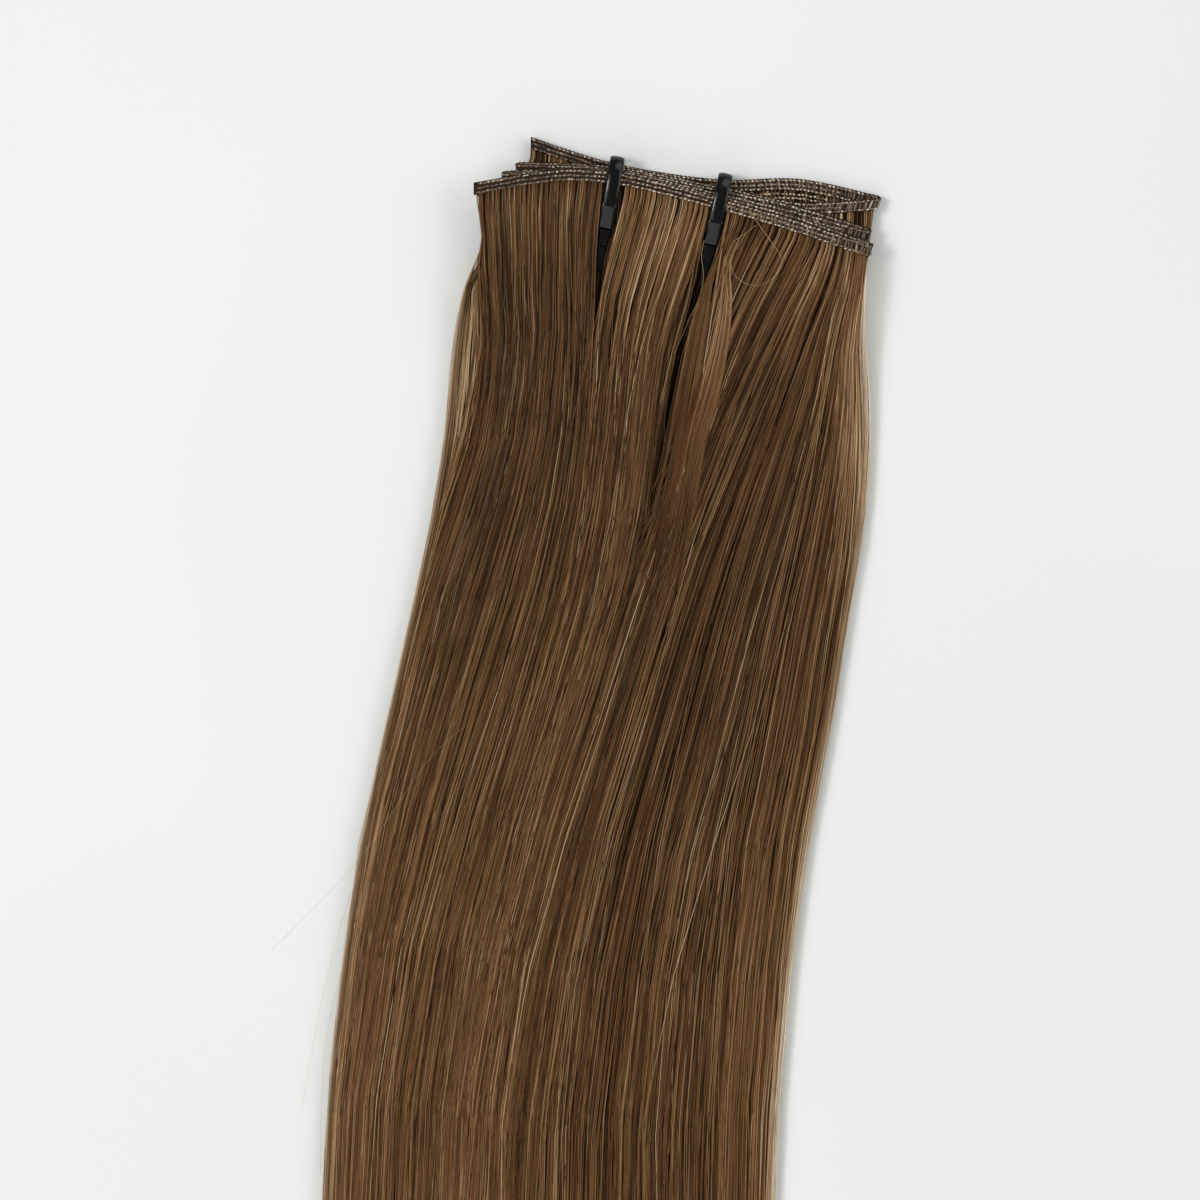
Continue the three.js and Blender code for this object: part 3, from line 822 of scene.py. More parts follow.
def thread_material(colours):
    """Twisted polyester sewing thread: half clear brown. The pale tints on some of its stitches are a painted
    highlight for its silky shine.
    """

    def nodes(material):
        tint = add_node(material, "ShaderNodeAttribute", {"attribute_name": "tint"}).outputs["Fac"]
        # The two palest stops are a painted highlight on the thread
        stops = (
            (0.0, colours.thread_dark),
            (0.55, colours.thread),
            (0.8, colours.thread_painted_shine),
            (1.0, colours.thread_painted_highlight),
        )
        colour = add_node(material, "ShaderNodeValToRGB", {"stops": stops}, {"Fac": tint})
        rough = add_node(material, "ShaderNodeMapRange", {"To Min": 0.5, "To Max": 0.25}, {"Value": tint})
        return {"Base Color": colour.outputs["Color"], "Roughness": rough.outputs["Result"]}

    return new_material("polyester_stitch_thread", {"IOR": 1.58, "Specular IOR Level": 0.6}, nodes)


def nylon_material(colours):
    """Black nylon 66, injection moulded: deep black and glossy, with a faint moulded waviness and scuffs."""

    def nodes(material):
        # Moulding ripple about 1.2 mm across, and scuffs about 0.3 mm
        ripple = uneven_pattern(material, (1.2, 1.2, 1.2))
        scuff = uneven_pattern(material, (0.3, 0.3, 0.3), 3.0)
        stops = ((0.5, colours.nylon), (0.85, colours.nylon_scuff))
        colour = add_node(material, "ShaderNodeValToRGB", {"stops": stops}, {"Fac": scuff})
        rough = add_node(material, "ShaderNodeMapRange", {"To Min": 0.1, "To Max": 0.17}, {"Value": scuff})
        relief = {"Strength": 0.2, "Distance": 0.2 * MM}
        normal = add_node(material, "ShaderNodeBump", relief, {"Height": ripple})
        return {
            "Base Color": colour.outputs["Color"],
            "Roughness": rough.outputs["Result"],
            "Normal": normal.outputs["Normal"],
        }

    return new_material("moulded_black_nylon", {"IOR": 1.53, "Specular IOR Level": 0.28}, nodes)


def matt_nylon_material(colours):
    """The same nylon where the mould is spark eroded: a fine grain that turns its shine to an even grey. That
    grey comes partly from the rough shine and partly from a painted sheen, the lighter grey in its colour.
    """

    def nodes(material):
        # Grain about 0.15 mm across
        grain = uneven_pattern(material, (0.15, 0.15, 0.15))
        # The lighter grey stop is a painted sheen of the grain
        stops = ((0.35, colours.nylon_scuff), (0.65, colours.nylon_matt_sheen))
        colour = add_node(material, "ShaderNodeValToRGB", {"stops": stops}, {"Fac": grain})
        relief = {"Strength": 0.5, "Distance": 0.05 * MM}
        normal = add_node(material, "ShaderNodeBump", relief, {"Height": grain})
        return {"Base Color": colour.outputs["Color"], "Normal": normal.outputs["Normal"]}

    finish = {"IOR": 1.53, "Roughness": 0.55, "Specular IOR Level": 0.35}
    return new_material("grained_black_nylon", finish, nodes)


def table_material(colours):
    """Matt white laminate table top, very slightly uneven in tone."""

    def nodes(material):
        # Tones about 160 mm across
        tone = uneven_pattern(material, (160.0, 160.0, 160.0), 1.0)
        stops = ((0.35, colours.table_shade), (0.65, colours.table))
        colour = add_node(material, "ShaderNodeValToRGB", {"stops": stops}, {"Fac": tone})
        return {"Base Color": colour.outputs["Color"]}

    return new_material("matt_white_laminate", {"Roughness": 0.6, "Specular IOR Level": 0.2}, nodes)


class HairSizes(bpy.types.PropertyGroup):
    """Sizes and numbers of the hairs."""

    front_hairs: bpy.props.IntProperty(
        name="Front hairs", description="Hairs drawn in the front layer", default=5000, min=100
    )
    inner_hairs: bpy.props.IntProperty(
        name="Inner hairs", description="Hairs drawn in each of the lowest layers", default=320, min=100
    )
    width: size_property("Hair width", "Width drawn for a hair, coarser than the real 0.08 mm", 0.25)
    bundle_pitch: size_property("Bundle pitch", "Distance between the bundles that leave the weft", 1.35)
    seed: bpy.props.IntProperty(name="Seed", description="Start of the random numbers", default=7, min=0)


class StitchSizes(bpy.types.PropertyGroup):
    """Sizes of the chain stitches on the weft."""

    pitch: size_property("Stitch pitch", "Length of one chain stitch along the weft", 1.07)
    thread: size_property("Thread", "Thickness of the sewing thread", 0.34)
    loop: size_property("Loop width", "Width of one chain stitch", 0.66)
    turn_pitch: size_property("Turn pitch", "Distance between the upright turns of thread", 0.9)


class TieSizes(bpy.types.PropertyGroup):
    """Sizes of the cable ties' edges."""

    edge: size_property("Edge radius", "Rounding of the strap's edges", 0.5)
    head_edge: size_property("Head edge radius", "Rounding of the head's edges", 0.5)


class StageSizes(bpy.types.PropertyGroup):
    """Camera and light sizes of the stage."""

    camera_height: size_property("Camera height", "Height of the camera above the table", 2600.0)
    frame_width: size_property("Frame width", "Width of the table that the picture shows", 300.0)
    frame_y: size_property("Frame centre", "Y of the middle of the picture", 91.25)
    table_width: size_property("Table width", "Side of the table top", 6000.0)


class Colours(bpy.types.PropertyGroup):
    """Colours of all the finishes."""

    shade: hex_property("Shade", "Hair in the deepest gaps", 0x1C1108)
    red_dark: hex_property("Dark red", "Dark reddish hairs", 0x4E2D19)
    red: hex_property("Red", "Reddish hairs", 0x6E4628)
    deep: hex_property("Deep", "Darkest hairs", 0x241408)
    body: hex_property("Body", "Most of the hairs", 0x654629)
    light: hex_property("Light", "Lighter hairs", 0x86623D)
    tan: hex_property("Tan", "Tan hairs", 0xAA8962)
    pale: hex_property("Pale", "Palest hairs", 0xD2BA94)
    edge: hex_property("Edge", "Thin hair at the edges", 0xC2A682)
    edge_pale: hex_property("Edge pale", "Palest hair at the edges", 0xF3E6CF)
    weft_dark: hex_property("Weft dark", "Shade between the weft's fibres", 0x1A110A)
    weft: hex_property("Weft", "The weft's fibres", 0x271A10)
    weft_pale: hex_property("Weft pale", "The weft's palest fibres", 0x44321F)
    thread_dark: hex_property("Thread dark", "Thread on its dark stitches", 0x3A2C1E)
    thread: hex_property("Thread", "Thread", 0x86705A)
    # The two palest thread colours are a painted highlight on the stitches
    thread_painted_shine: hex_property("Thread pale", "Thread where it shines", 0xCFB49A)
    thread_painted_highlight: hex_property("Thread bright", "Thread where it shines most", 0xF6E8D6)
    nylon: hex_property("Nylon", "Cable ties", 0x030303)
    nylon_scuff: hex_property("Nylon scuff", "Scuffed patches of the ties", 0x101110)
    # A lighter grey for the grained face: a painted sheen over the black nylon
    nylon_matt_sheen: hex_property("Matt nylon", "Grained face of the ties", 0x272825)
    table: hex_property("Table", "Table top", 0xE8E9E8)
    table_shade: hex_property("Table shade", "Darker tone of the table top", 0xE5E7E5)


class HairExtensionSettings(bpy.types.PropertyGroup):
    """All settings of the hair extension."""

    hair: bpy.props.PointerProperty(type=HairSizes)
    stitches: bpy.props.PointerProperty(type=StitchSizes)
    ties: bpy.props.PointerProperty(type=TieSizes)
    stage: bpy.props.PointerProperty(type=StageSizes)
    colours: bpy.props.PointerProperty(type=Colours)


def settings():
    return bpy.context.scene.hair_extension


def folded_strip(steps_per_layer, steps_per_fold):
    """The folded strip's middle line from end to end, as rows of X, Y of the top edge, Z and turn, and the
    length reached at each row."""
    rows = []
    radius = LAYER_PITCH / 2
    for index, layer in enumerate(LAYERS):
        rightwards = index % 2 == 0
        ends = ("left", "right") if rightwards else ("right", "left")
        z = WEFT_LIFT + index * LAYER_PITCH + WEFT_THICKNESS / 2
        x = np.linspace(layer[ends[0] + "_x"], layer[ends[1] + "_x"], steps_per_layer + 1)
        turn = np.full(len(x), 0.0 if rightwards else np.pi)
        rows.append(np.stack([x, top_edge(layer, x), np.full(len(x), z), turn], axis=1))
        if index == FRONT:
            break
        following = LAYERS[index + 1]
        share = np.arange(1, steps_per_fold) / steps_per_fold
        swing = np.pi * share
        side = 1.0 if rightwards else -1.0
        x = lerp(layer[ends[1] + "_x"], following[ends[1] + "_x"], share) + side * radius * np.sin(swing)
        y = lerp(layer[ends[1] + "_y"], following[ends[1] + "_y"], share)
        turn = swing if rightwards else np.pi - swing
        rows.append(np.stack([x, y, z + radius * (1 - np.cos(swing)), turn], axis=1))
    stations = np.concatenate(rows)
    steps = np.linalg.norm(np.diff(stations[:, [0, 2]], axis=0), axis=1)
    return stations, np.concatenate([[0.0], np.cumsum(steps)])


def strip_values(strip, along):
    """X, Y of the top edge, Z and turn of the folded strip, at lengths along it."""
    stations, reached = strip
    return (np.interp(along, reached, stations[:, column]) for column in range(4))


def on_strip(strip, along, down, out):
    """Points on the folded strip, by length along it, distance down from its top edge and distance out."""
    x, y, z, turn = strip_values(strip, along)
    lean = WEFT_LEAN * smoothstep(x, *WEFT_LEAN_X)
    return np.stack([x - lean * down - out * np.sin(turn), y - down, z + out * np.cos(turn)], axis=-1)


class HAIREXT_OT_weft(bpy.types.Operator):
    """Builds the folded weft strip, with edges scalloped by the stitches"""

    bl_idname = "hair_extension.weft"
    bl_label = "Weft Strip"

    def execute(self, context):
        strip = folded_strip(*WEFT_STEPS)
        _, reached = strip
        scallop = SCALLOP * np.cos(2 * np.pi * reached / (settings().stitches.pitch / MM))
        section = [(share * WEFT_THICKNESS / 2, down, edge) for share, down, edge in WEFT_SECTION]
        section += [(-out, down, edge) for out, down, edge in reversed(section)]
        rings = [on_strip(strip, reached, down - edge * scallop, out) for out, down, edge in section]
        piece = new_piece("weft_strip", *skin(np.stack(rings, axis=1)))
        finish_piece(piece, weft_material(settings().colours), "stitched_weft", "weft_band")
        return {"FINISHED"}


def stitch_tint(random, calm, middle, darker, scatter, tint_range):
    return np.clip(random.normal(middle - darker * calm, scatter), *tint_range)


def row_stitches(random, strip, face, down, shift, dimmer, x_range):
    """Paths, widths and tints of one row's stitches on one face of the strip."""
    sizes = settings().stitches
    pitch = sizes.pitch / MM
    starts = np.arange(STITCH_ENDS[0] + shift, strip[1][-1] - STITCH_ENDS[1] * pitch, pitch)
    starts = starts + random.uniform(*STITCH_JITTER, len(starts))
    x, _, z, turn = strip_values(strip, starts)
    kept = (x > x_range[0]) & (x < x_range[1])
    if down > WEFT_HEIGHT:
        kept &= z < WEFT_LIFT + WEFT_THICKNESS
    starts, x, turn = (values[kept][:, None] for values in (starts, x, turn))
    side = np.full(turn.shape, face) if face else np.where(np.cos(turn) > 0.0, 1, -1)
    drop = down + random.uniform(*STITCH_SCATTER, starts.shape)
    calm = np.interp(x, *STITCH_CALM)
    base = stitch_tint(random, calm, *LOOP_TINTS)
    # The twists' tint is a painted highlight, with less of it on the middle row
    glint = stitch_tint(random, calm, *TWIST_TINTS) - dimmer
    plump = random.uniform(*STITCH_PLUMP, starts.shape)
    centred = STITCH_RUN - 0.5
    # A plump loop, and a shorter twist of thread that slants over it, with a painted highlight in its tint:
    # length in stitches, slant, width, lift and tint
    for reach, slant, girth, lift, tint in (
        (1.1, 0.1, sizes.loop / MM, 0.1, base),
        (0.8, 0.36, sizes.thread / MM, 0.3, glint),
    ):
        out = STITCH_SEAT * WEFT_THICKNESS / 2 + lift * np.array([-0.3, 1.0, -0.3])
        paths = on_strip(strip, starts + pitch * (0.5 + reach * centred), drop + slant * centred, side * out)
        yield paths, girth * plump * np.array([0.55, 1.1, 0.55]), np.tile(tint, (1, len(STITCH_RUN)))


def thread_turns(random, strip):
    """Paths, widths and tints of the upright turns of thread between the rows, at the right."""
    _, reached = strip
    parts = []
    for face in (1.0, -1.0):
        along = np.arange(TURN_ENDS, reached[-1] - TURN_ENDS, settings().stitches.turn_pitch / MM)
        along = along + random.uniform(-TURN_JITTER, TURN_JITTER, len(along))
        x, *_ = strip_values(strip, along)
        along = along[x > TURN_X][:, None]
        place = lerp(*TURN_DOWN, TURN_RUN) + random.uniform(-TURN_SCATTER, TURN_SCATTER, (len(along), 2))
        slant = random.uniform(-TURN_SLANT, TURN_SLANT, place.shape)
        path = on_strip(strip, along + slant, place, face * TURN_OUT)
        tint = np.clip(random.normal(TURN_TINT, TURN_TONES, along.shape), 0.0, TURN_PALEST)
        parts.append((path, np.tile(tint, (1, 2))))
    paths, tints = stacked(parts)
    widths = np.tile(random.uniform(*TURN_WIDTHS, (len(paths), 1)), (1, 2))
    return paths, widths, tints


class HAIREXT_OT_stitches(bpy.types.Operator):
    """Builds the rows of chain stitches on the weft, and the upright turns of thread between them"""

    bl_idname = "hair_extension.stitches"
    bl_label = "Chain Stitches"

    def execute(self, context):
        random = np.random.default_rng(settings().hair.seed + 1)
        strip = folded_strip(*STITCH_STEPS)
        material = thread_material(settings().colours)
        stitches = []
        for faces, *row in STITCH_ROWS:
            for face in faces:
                stitches.extend(row_stitches(random, strip, face, *row))
        paths, widths, tints = stacked(stitches)
        piece = tube_piece("weft_stitches", paths, widths, STITCH_FLATNESS, tints, STITCH_RUN, sides=4)
        finish_piece(piece, material, "stitched_weft")
        paths, widths, tints = thread_turns(random, strip)
        piece = tube_piece("weft_turns", paths, widths, TURN_FLATNESS, tints, TURN_RUN)
        finish_piece(piece, material, "stitched_weft")
        return {"FINISHED"}


def sheet_arrays(top, bottom):
    """Vertices and triangles of a closed sheet between two grids of points, whose columns go to the right."""
    columns, rows, _ = top.shape
    number = np.arange(columns * rows).reshape(columns, rows)
    under = columns * rows
    a, b = number[:-1, :-1].ravel(), number[1:, :-1].ravel()
    c, d = number[:-1, 1:].ravel(), number[1:, 1:].ravel()
    faces = [
        np.stack([a, c, d], axis=1),
        np.stack([a, d, b], axis=1),
        np.stack([a, d, c], axis=1) + under,
        np.stack([a, b, d], axis=1) + under,
    ]
    rim = np.concatenate([number[0, :], number[1:, -1], number[-1, -2::-1], number[-2:0:-1, 0]])
    following = np.roll(rim, -1)
    faces.append(np.stack([following, rim, rim + under], axis=1))
    faces.append(np.stack([following, rim + under, following + under], axis=1))
    return np.concatenate([top.reshape(-1, 3), bottom.reshape(-1, 3)]), np.concatenate(faces)


def core_grids(random, index):
    """Upper and lower points of the shaded hair in one layer, with its three tresses side by side."""
    tress = np.repeat(np.arange(3), CORE_COLUMNS)
    # The core stays further inside at the outline, and at the openings that the ties pass through
    inner = CORE_INSIDE if index >= OPEN_LAYER else CORE_CLOSED
    sides = ((CORE_INSIDE, inner), (inner, inner), (inner, CORE_INSIDE))
    narrow = np.concatenate([np.linspace(start, 1.0 - end, CORE_COLUMNS) for start, end in sides])[:, None]
    wide = np.tile(np.linspace(CORE_AT_WEFT, 1.0 - CORE_AT_WEFT, CORE_COLUMNS), 3)[:, None]
    share = lerp(wide, narrow, smoothstep(CORE_RUN * HAIR_LENGTH, *CORE_NARROW_RANGE))
    if index < FRONT:
        tip_y = TIP_Y + random.uniform(*CORE_SHORTER, (len(tress), 1))
        upper = CORE_TOP
    else:
        # Under the front layer only a short backing shows, between the bundles at the weft
        tip_y = BACKING_TIP_Y
        upper = BACKING_TOP
    x, y, down = flow_lines(index, tress, share, tip_y, CORE_RUN)
    groove = random.uniform(0.0, CORE_GROOVE, (len(tress), 1))
    settled = smoothstep(down, *CORE_SETTLE_RANGE)
    low = stack_z(x, y, index + lerp(CORE_ROOT_LEVELS[0], CORE_FOOT - groove, settled))
    low = np.maximum(low, CORE_FLOOR if index else CORE_FLOOR_LOWEST)
    high = stack_z(x, y, index + lerp(CORE_ROOT_LEVELS[1], upper - groove, settled))
    high = np.maximum(high, low + CORE_LEAST)
    y = y + CORE_TUCK * (1.0 - smoothstep(down, 0.0, TUCK_LENGTH))
    return np.stack([x, y, high], axis=-1), np.stack([x, y, low], axis=-1)


class HAIREXT_OT_core(bpy.types.Operator):
    """Builds the shaded hair inside the layers, which the strands lie on"""

    bl_idname = "hair_extension.core"
    bl_label = "Inner Hair"

    def execute(self, context):
        random = np.random.default_rng(settings().hair.seed + 2)
        sheets = []
        for index in range(len(LAYERS)):
            top, bottom = core_grids(random, index)
            for first in range(0, len(top), CORE_COLUMNS):
                rows = slice(first, first + CORE_COLUMNS)
                sheets.append(sheet_arrays(top[rows], bottom[rows]))
        piece = new_piece("hair_core", *joined(sheets))
        finish_piece(piece, core_material(settings().colours), "human_hair", *HAIR_NODES[:FRONT])
        return {"FINISHED"}


class Tress:
    """The hairs of one tress of a layer. They leave the weft in small bundles, fan out to the right by a
    power of their share, and gather in rounded locks of a few strands, with loose hairs lying over them. The
    gaps are shares of the tress left open at its two sides some way down. A value for each hair is a column,
    so that it goes with the points down the hair. The paths are made first, as the others need them."""

    def __init__(self, random, index, tress, count, fan=1.0, gaps=(0.0, 0.0), strands=3, crowd=1.0):
        self.random, self.index, self.tress, self.fan, self.gaps = random, index, tress, fan, gaps
        self.shape = (count, 1)
        ends, _, _ = flow_lines(index, np.full(2, tress), np.array([[0.0], [1.0]]), TIP_Y, STATIONS[:1])
        self.locks = locks = max(3, round((ends[1, 0] - ends[0, 0]) / (settings().hair.bundle_pitch / MM)))
        # Most of the hairs start on the side that fans out or shows
        crowd = np.where(self.chance(EVEN_SHARE), 1.0, crowd / (1.0 + FAN_CROWD * (fan - 1.0)))
        self.lock = lock = (self.uniform(0.0, 1.0) ** crowd * locks).astype(int)
        self.strand = strand = random.integers(0, strands, self.shape)
        self.drift, self.swing, self.raised, self.placed = random.uniform(-1.0, 1.0, (4, locks))[:, lock]
        self.tight = random.uniform(*LOCK_TIGHTNESS, locks)[lock]
        self.tone = random.normal(0.0, LOCK_TONES, locks)[lock]
        self.tone = self.tone + random.normal(0.0, STRAND_TONES, (locks, strands))[lock, strand]
        self.height = random.uniform(-1.0, 1.0, (locks, strands))[lock, strand]
        self.red_strand = random.uniform(0.0, 1.0, (locks, strands))[lock, strand] < RED_STRANDS
        self.phase = random.uniform(0.0, 2 * np.pi, locks)[lock]
        # Where a lock's strands meet, from 0 to 1 across it, with the outer ones reaching over its neighbours
        cuts = CUT_SCATTER * random.uniform(-1.0, 1.0, (locks, strands + 1))
        cuts[:, 0], cuts[:, -1] = -0.5 * np.abs(cuts[:, 0]), 0.5 * np.abs(cuts[:, -1])
        self.cuts = (cuts + np.arange(strands + 1)) / strands
        self.tip_y = TIP_Y + random.uniform(0.0, LOCK_SHORTER, locks)[lock]
        self.tip_y = self.tip_y + np.minimum(random.exponential(HAIR_SHORTER, self.shape), HAIR_SHORTEST)

    def uniform(self, low, high):
        return self.random.uniform(low, high, self.shape)

    def chance(self, share):
        return self.uniform(0.0, 1.0) < share

    def across(self, offset):
        """X, Y and distance down, at an offset from the locks' middle lines in lock widths."""
        far = STATIONS * HAIR_LENGTH
        power = 1.0 + (self.fan - 1.0) * cubic_through(FAN_DISTANCES, FAN_SHARES, far)
        share = (self.lock + 0.5 + offset + LOCK_SCATTER * self.placed) / self.locks
        share = share + LOCK_DRIFT * self.drift / self.locks / power * smoothstep(far, *DRIFT_RANGE)
        gaps = hump(far, *GAP_RANGE)
        share = lerp(self.gaps[0] * gaps, 1.0 - self.gaps[1] * gaps, np.clip(share, 0.0, 1.0) ** power)
        return flow_lines(self.index, np.full(len(share), self.tress), share, self.tip_y, STATIONS)

    def paths(self, fill):
        """Points down the hairs, which rise over their layer's foot by a share of its height."""
        x, y, down = self.across(0.0)
        half = np.clip((self.across(0.5)[0] - self.across(-0.5)[0]) / 2, *LOCK_HALF_WIDTHS)
        free = self.chance(FREE_SHARE)
        self.stray = self.chance(STRAY_SHARE)
        self.loose = free | self.stray
        # Place across the strand, and within the whole lock, from -1 to 1
        self.place = self.uniform(-1.0, 1.0)
        cuts = self.cuts[self.lock, self.strand], self.cuts[self.lock, self.strand + 1]
        self.within = np.clip(lerp(*cuts, 0.5 + STRAND_FILL * self.place) * 2.0 - 1.0, -1.05, 1.05)
        gather = smoothstep(down, *GATHER_RANGE) * (1.0 - LOOSEN * smoothstep(down, *LOOSEN_RANGE))
        gather = 1.0 - gather * (1.0 - self.tight) * np.minimum(1.0, GATHER_HALF_WIDTH / half)
        comb = FRONT_COMB if self.index == FRONT else INNER_COMB
        bundle = lerp(np.where(free, 0.5 + 0.5 * comb, comb), 1.0, smoothstep(down, *BUNDLE_RANGE))
        x = x + self.within * half * bundle * gather
        settled = smoothstep(down, *SETTLE_RANGE)
        x = x + settled * LOCK_SWING * (self.swing * np.sin(down / SWING_LENGTH + self.phase))
        free_reach = self.uniform(*FREE_REACH)
        reach = np.where(free, free_reach, np.abs(self.random.normal(0.0, HELD_REACH, self.shape)))
        reach = np.where(self.stray, self.uniform(*STRAY_REACH), reach)
        self.start = self.uniform(0.0, 2 * np.pi)
        wave = self.uniform(*HAIR_WAVES)
        x = x + settled * reach * (np.sin(down / wave + self.start) - np.sin(self.start))
        left, _, _, right = outline(y)
        reached = np.clip((x - left) / (right - left), 0.0, SWEEP_END)
        sweep = SWEEP * max(self.index - 3, 0) / 2.0 * reached * (1.0 - reached / SWEEP_END) ** SWEEP_POWER
        x = x - sweep * (right - left) * smoothstep(down, *SWEEP_RANGE)
        inside = INSIDE_STEP * self.index * smoothstep(down, *INSIDE_RANGE)
        x = np.clip(x, left + inside, right - inside)
        ripple = HAIR_RIPPLE * np.sin(down / RIPPLE_LENGTH + 3.0 * self.start)
        rise = self.rise(fill, down) + settled * ripple
        z = np.maximum(stack_z(x, y, self.index + rise), HAIR_FLOOR * settings().hair.width / MM)
        y = y + HAIR_TUCK * (1.0 - smoothstep(down, 0.0, TUCK_LENGTH))
        self.points = x, y, down, left, right
        return np.stack([x, y, z], axis=-1)

    def rise(self, fill, down):
        """Level of the hairs above their layer's foot, in layers. Locks and strands have rounded tops."""
        rounded = np.sqrt(1.0 - LOCK_ROUNDING * self.within**2) * (1.0 - STRAND_ROUNDING * self.place**2)
        rounded = np.where(self.loose, 1.0, rounded + STRAND_STEP * self.height)
        depth = 1.0 - HAIR_DEPTH * self.uniform(0.0, 1.0) ** 2
        over = np.where(self.stray, STRAY_OVER, 0.0)
        level = HAIR_FOOT + fill * (rounded * depth * (1.0 + LOCK_STEP * self.raised) + over)
        first = self.uniform(*ROOT_LEVELS)
        self.under = np.zeros(self.shape, bool)
        if self.index == 0:
            # Part of the lowest hair lies under its core, flat on the table
            self.under = self.chance(UNDER_SHARE)
            first = np.where(self.under, self.uniform(*UNDER_LEVELS), first)
            level = np.where(self.under, self.uniform(*UNDER_LEVELS), level)
        return lerp(first, level, smoothstep(down, *RISE_RANGE))

    def tints(self, lift, lift_end):
        """Tints down the hairs, lighter at the weft by a lift that ends some way down."""
        x, y, down, left, right = self.points
        shaded = LOCK_SHADE * np.abs(self.within) ** 3 + STRAND_SHADE * self.place**2
        shaded = np.where(self.loose, 0.0, shaded)
        shaded = shaded * (SHADE_SHARES[0] + SHADE_SHARES[1] * hump(down, *SHADED_RANGE))
        tint = self.tone + self.random.normal(0.0, HAIR_TONES, self.shape)
        waver = WAVER * np.sin(down / self.uniform(*WAVER_LENGTHS) + 5.0 * self.start)
        # Hairs differ less from each other low down, where they lie closer
        tints = MIDDLE_TINT + tint * lerp(1.0, LOW_TONES, smoothstep(down, *LOW_RANGE)) - shaded + waver
        tints = tints + np.interp(down, *TONE_DOWN) + lift * (1.0 - smoothstep(down, LIFT_START, lift_end))
        # Light passes through the thin edges, and stray hairs catch it here and there
        bulge = smoothstep(y, *BULGE_Y) * (1.0 if self.index < FRONT else 0.0)
        clear = smoothstep(down, *CLEAR_RANGE)
        rim_width = lerp(*LEFT_RIM_WIDTH, bulge)
        tints = tints + clear * lerp(*LEFT_RIM, bulge) * np.exp((left - x) / rim_width)
        rim_width = np.interp(y, *RIGHT_RIM_WIDTH)
        tints = tints + clear * np.interp(y, *RIGHT_RIM) * np.exp((x - right) / rim_width)
        glint = GLINT * np.exp(-(((down - self.uniform(*GLINT_PLACES)) / GLINT_LENGTH) ** 2))
        tints = np.clip(tints + np.where(self.stray, glint, 0.0), LEAST_TINT, 1.0)
        red = (self.red_strand & self.chance(RED_IN_STRAND)) | self.chance(RED_HAIRS)
        red = red & ~self.stray & (tints < RED_BELOW)
        return np.where(red, self.uniform(*RED_TINTS), tints)

    def widths(self):
        girth = settings().hair.width / MM * self.uniform(*HAIR_GIRTHS)
        girth = girth * np.where(self.stray, STRAY_GIRTH, 1.0) * np.where(self.under, UNDER_GIRTH, 1.0)
        return girth * lerp(1.0, TIP_GIRTH, smoothstep(STATIONS, 0.9, 1.0))


def tress_strands(random, index, tress, count, fill, lift, **layout):
    """Paths, widths and tints of the hairs in one tress of a layer."""
    hairs = Tress(random, index, tress, count, **layout)
    paths = hairs.paths(fill)
    tints = hairs.tints(*lift)
    return paths, hairs.widths(), tints


class HAIREXT_OT_front_hair(bpy.types.Operator):
    """Builds the three tresses of the front layer, hair by hair"""

    bl_idname = "hair_extension.front_hair"
    bl_label = "Front Hair"

    def execute(self, context):
        sizes = settings().hair
        material = hair_material(settings().colours)
        for tress, (side, part, lift, layout) in enumerate(FRONT_TRESSES):
            random = np.random.default_rng(sizes.seed + 10 + tress)
            count = int(sizes.front_hairs * part)
            paths, widths, tints = tress_strands(random, FRONT, tress, count, FRONT_FILL, lift, **layout)
            piece = tube_piece(f"hair_front_{side}", paths, widths, HAIR_FLATNESS, tints, STATIONS)
            finish_piece(piece, material, "human_hair", HAIR_NODES[FRONT])
        return {"FINISHED"}


class HAIREXT_OT_inner_hair(bpy.types.Operator):
    """Builds the hairs of the five layers under the front one"""

    bl_idname = "hair_extension.inner_hair"
    bl_label = "Inner Layers"

    def execute(self, context):
        sizes = settings().hair
        material = bpy.data.materials["dyed_human_hair"]
        for index in range(FRONT):
            random = np.random.default_rng(sizes.seed + 30 + index)
            fill = 1.05 if index == FRONT - 1 else 0.75
            parts = []
            for tress, (part, crowd, fan_step) in enumerate(INNER_TRESSES):
                count = int(sizes.inner_hairs * part * INNER_COUNTS[index])
                layout = {"fan": 1.0 + fan_step * index, "crowd": crowd if index else 1.0}
                parts.append(tress_strands(random, index, tress, count, fill, INNER_LIFT, **layout))
            paths, widths, tints = stacked(parts)
            widths = INNER_GIRTH * widths
            piece = tube_piece(f"hair_inner_{index + 1}", paths, widths, 1.0 / INNER_GIRTH, tints, STATIONS)
            finish_piece(piece, material, "human_hair")
        return {"FINISHED"}


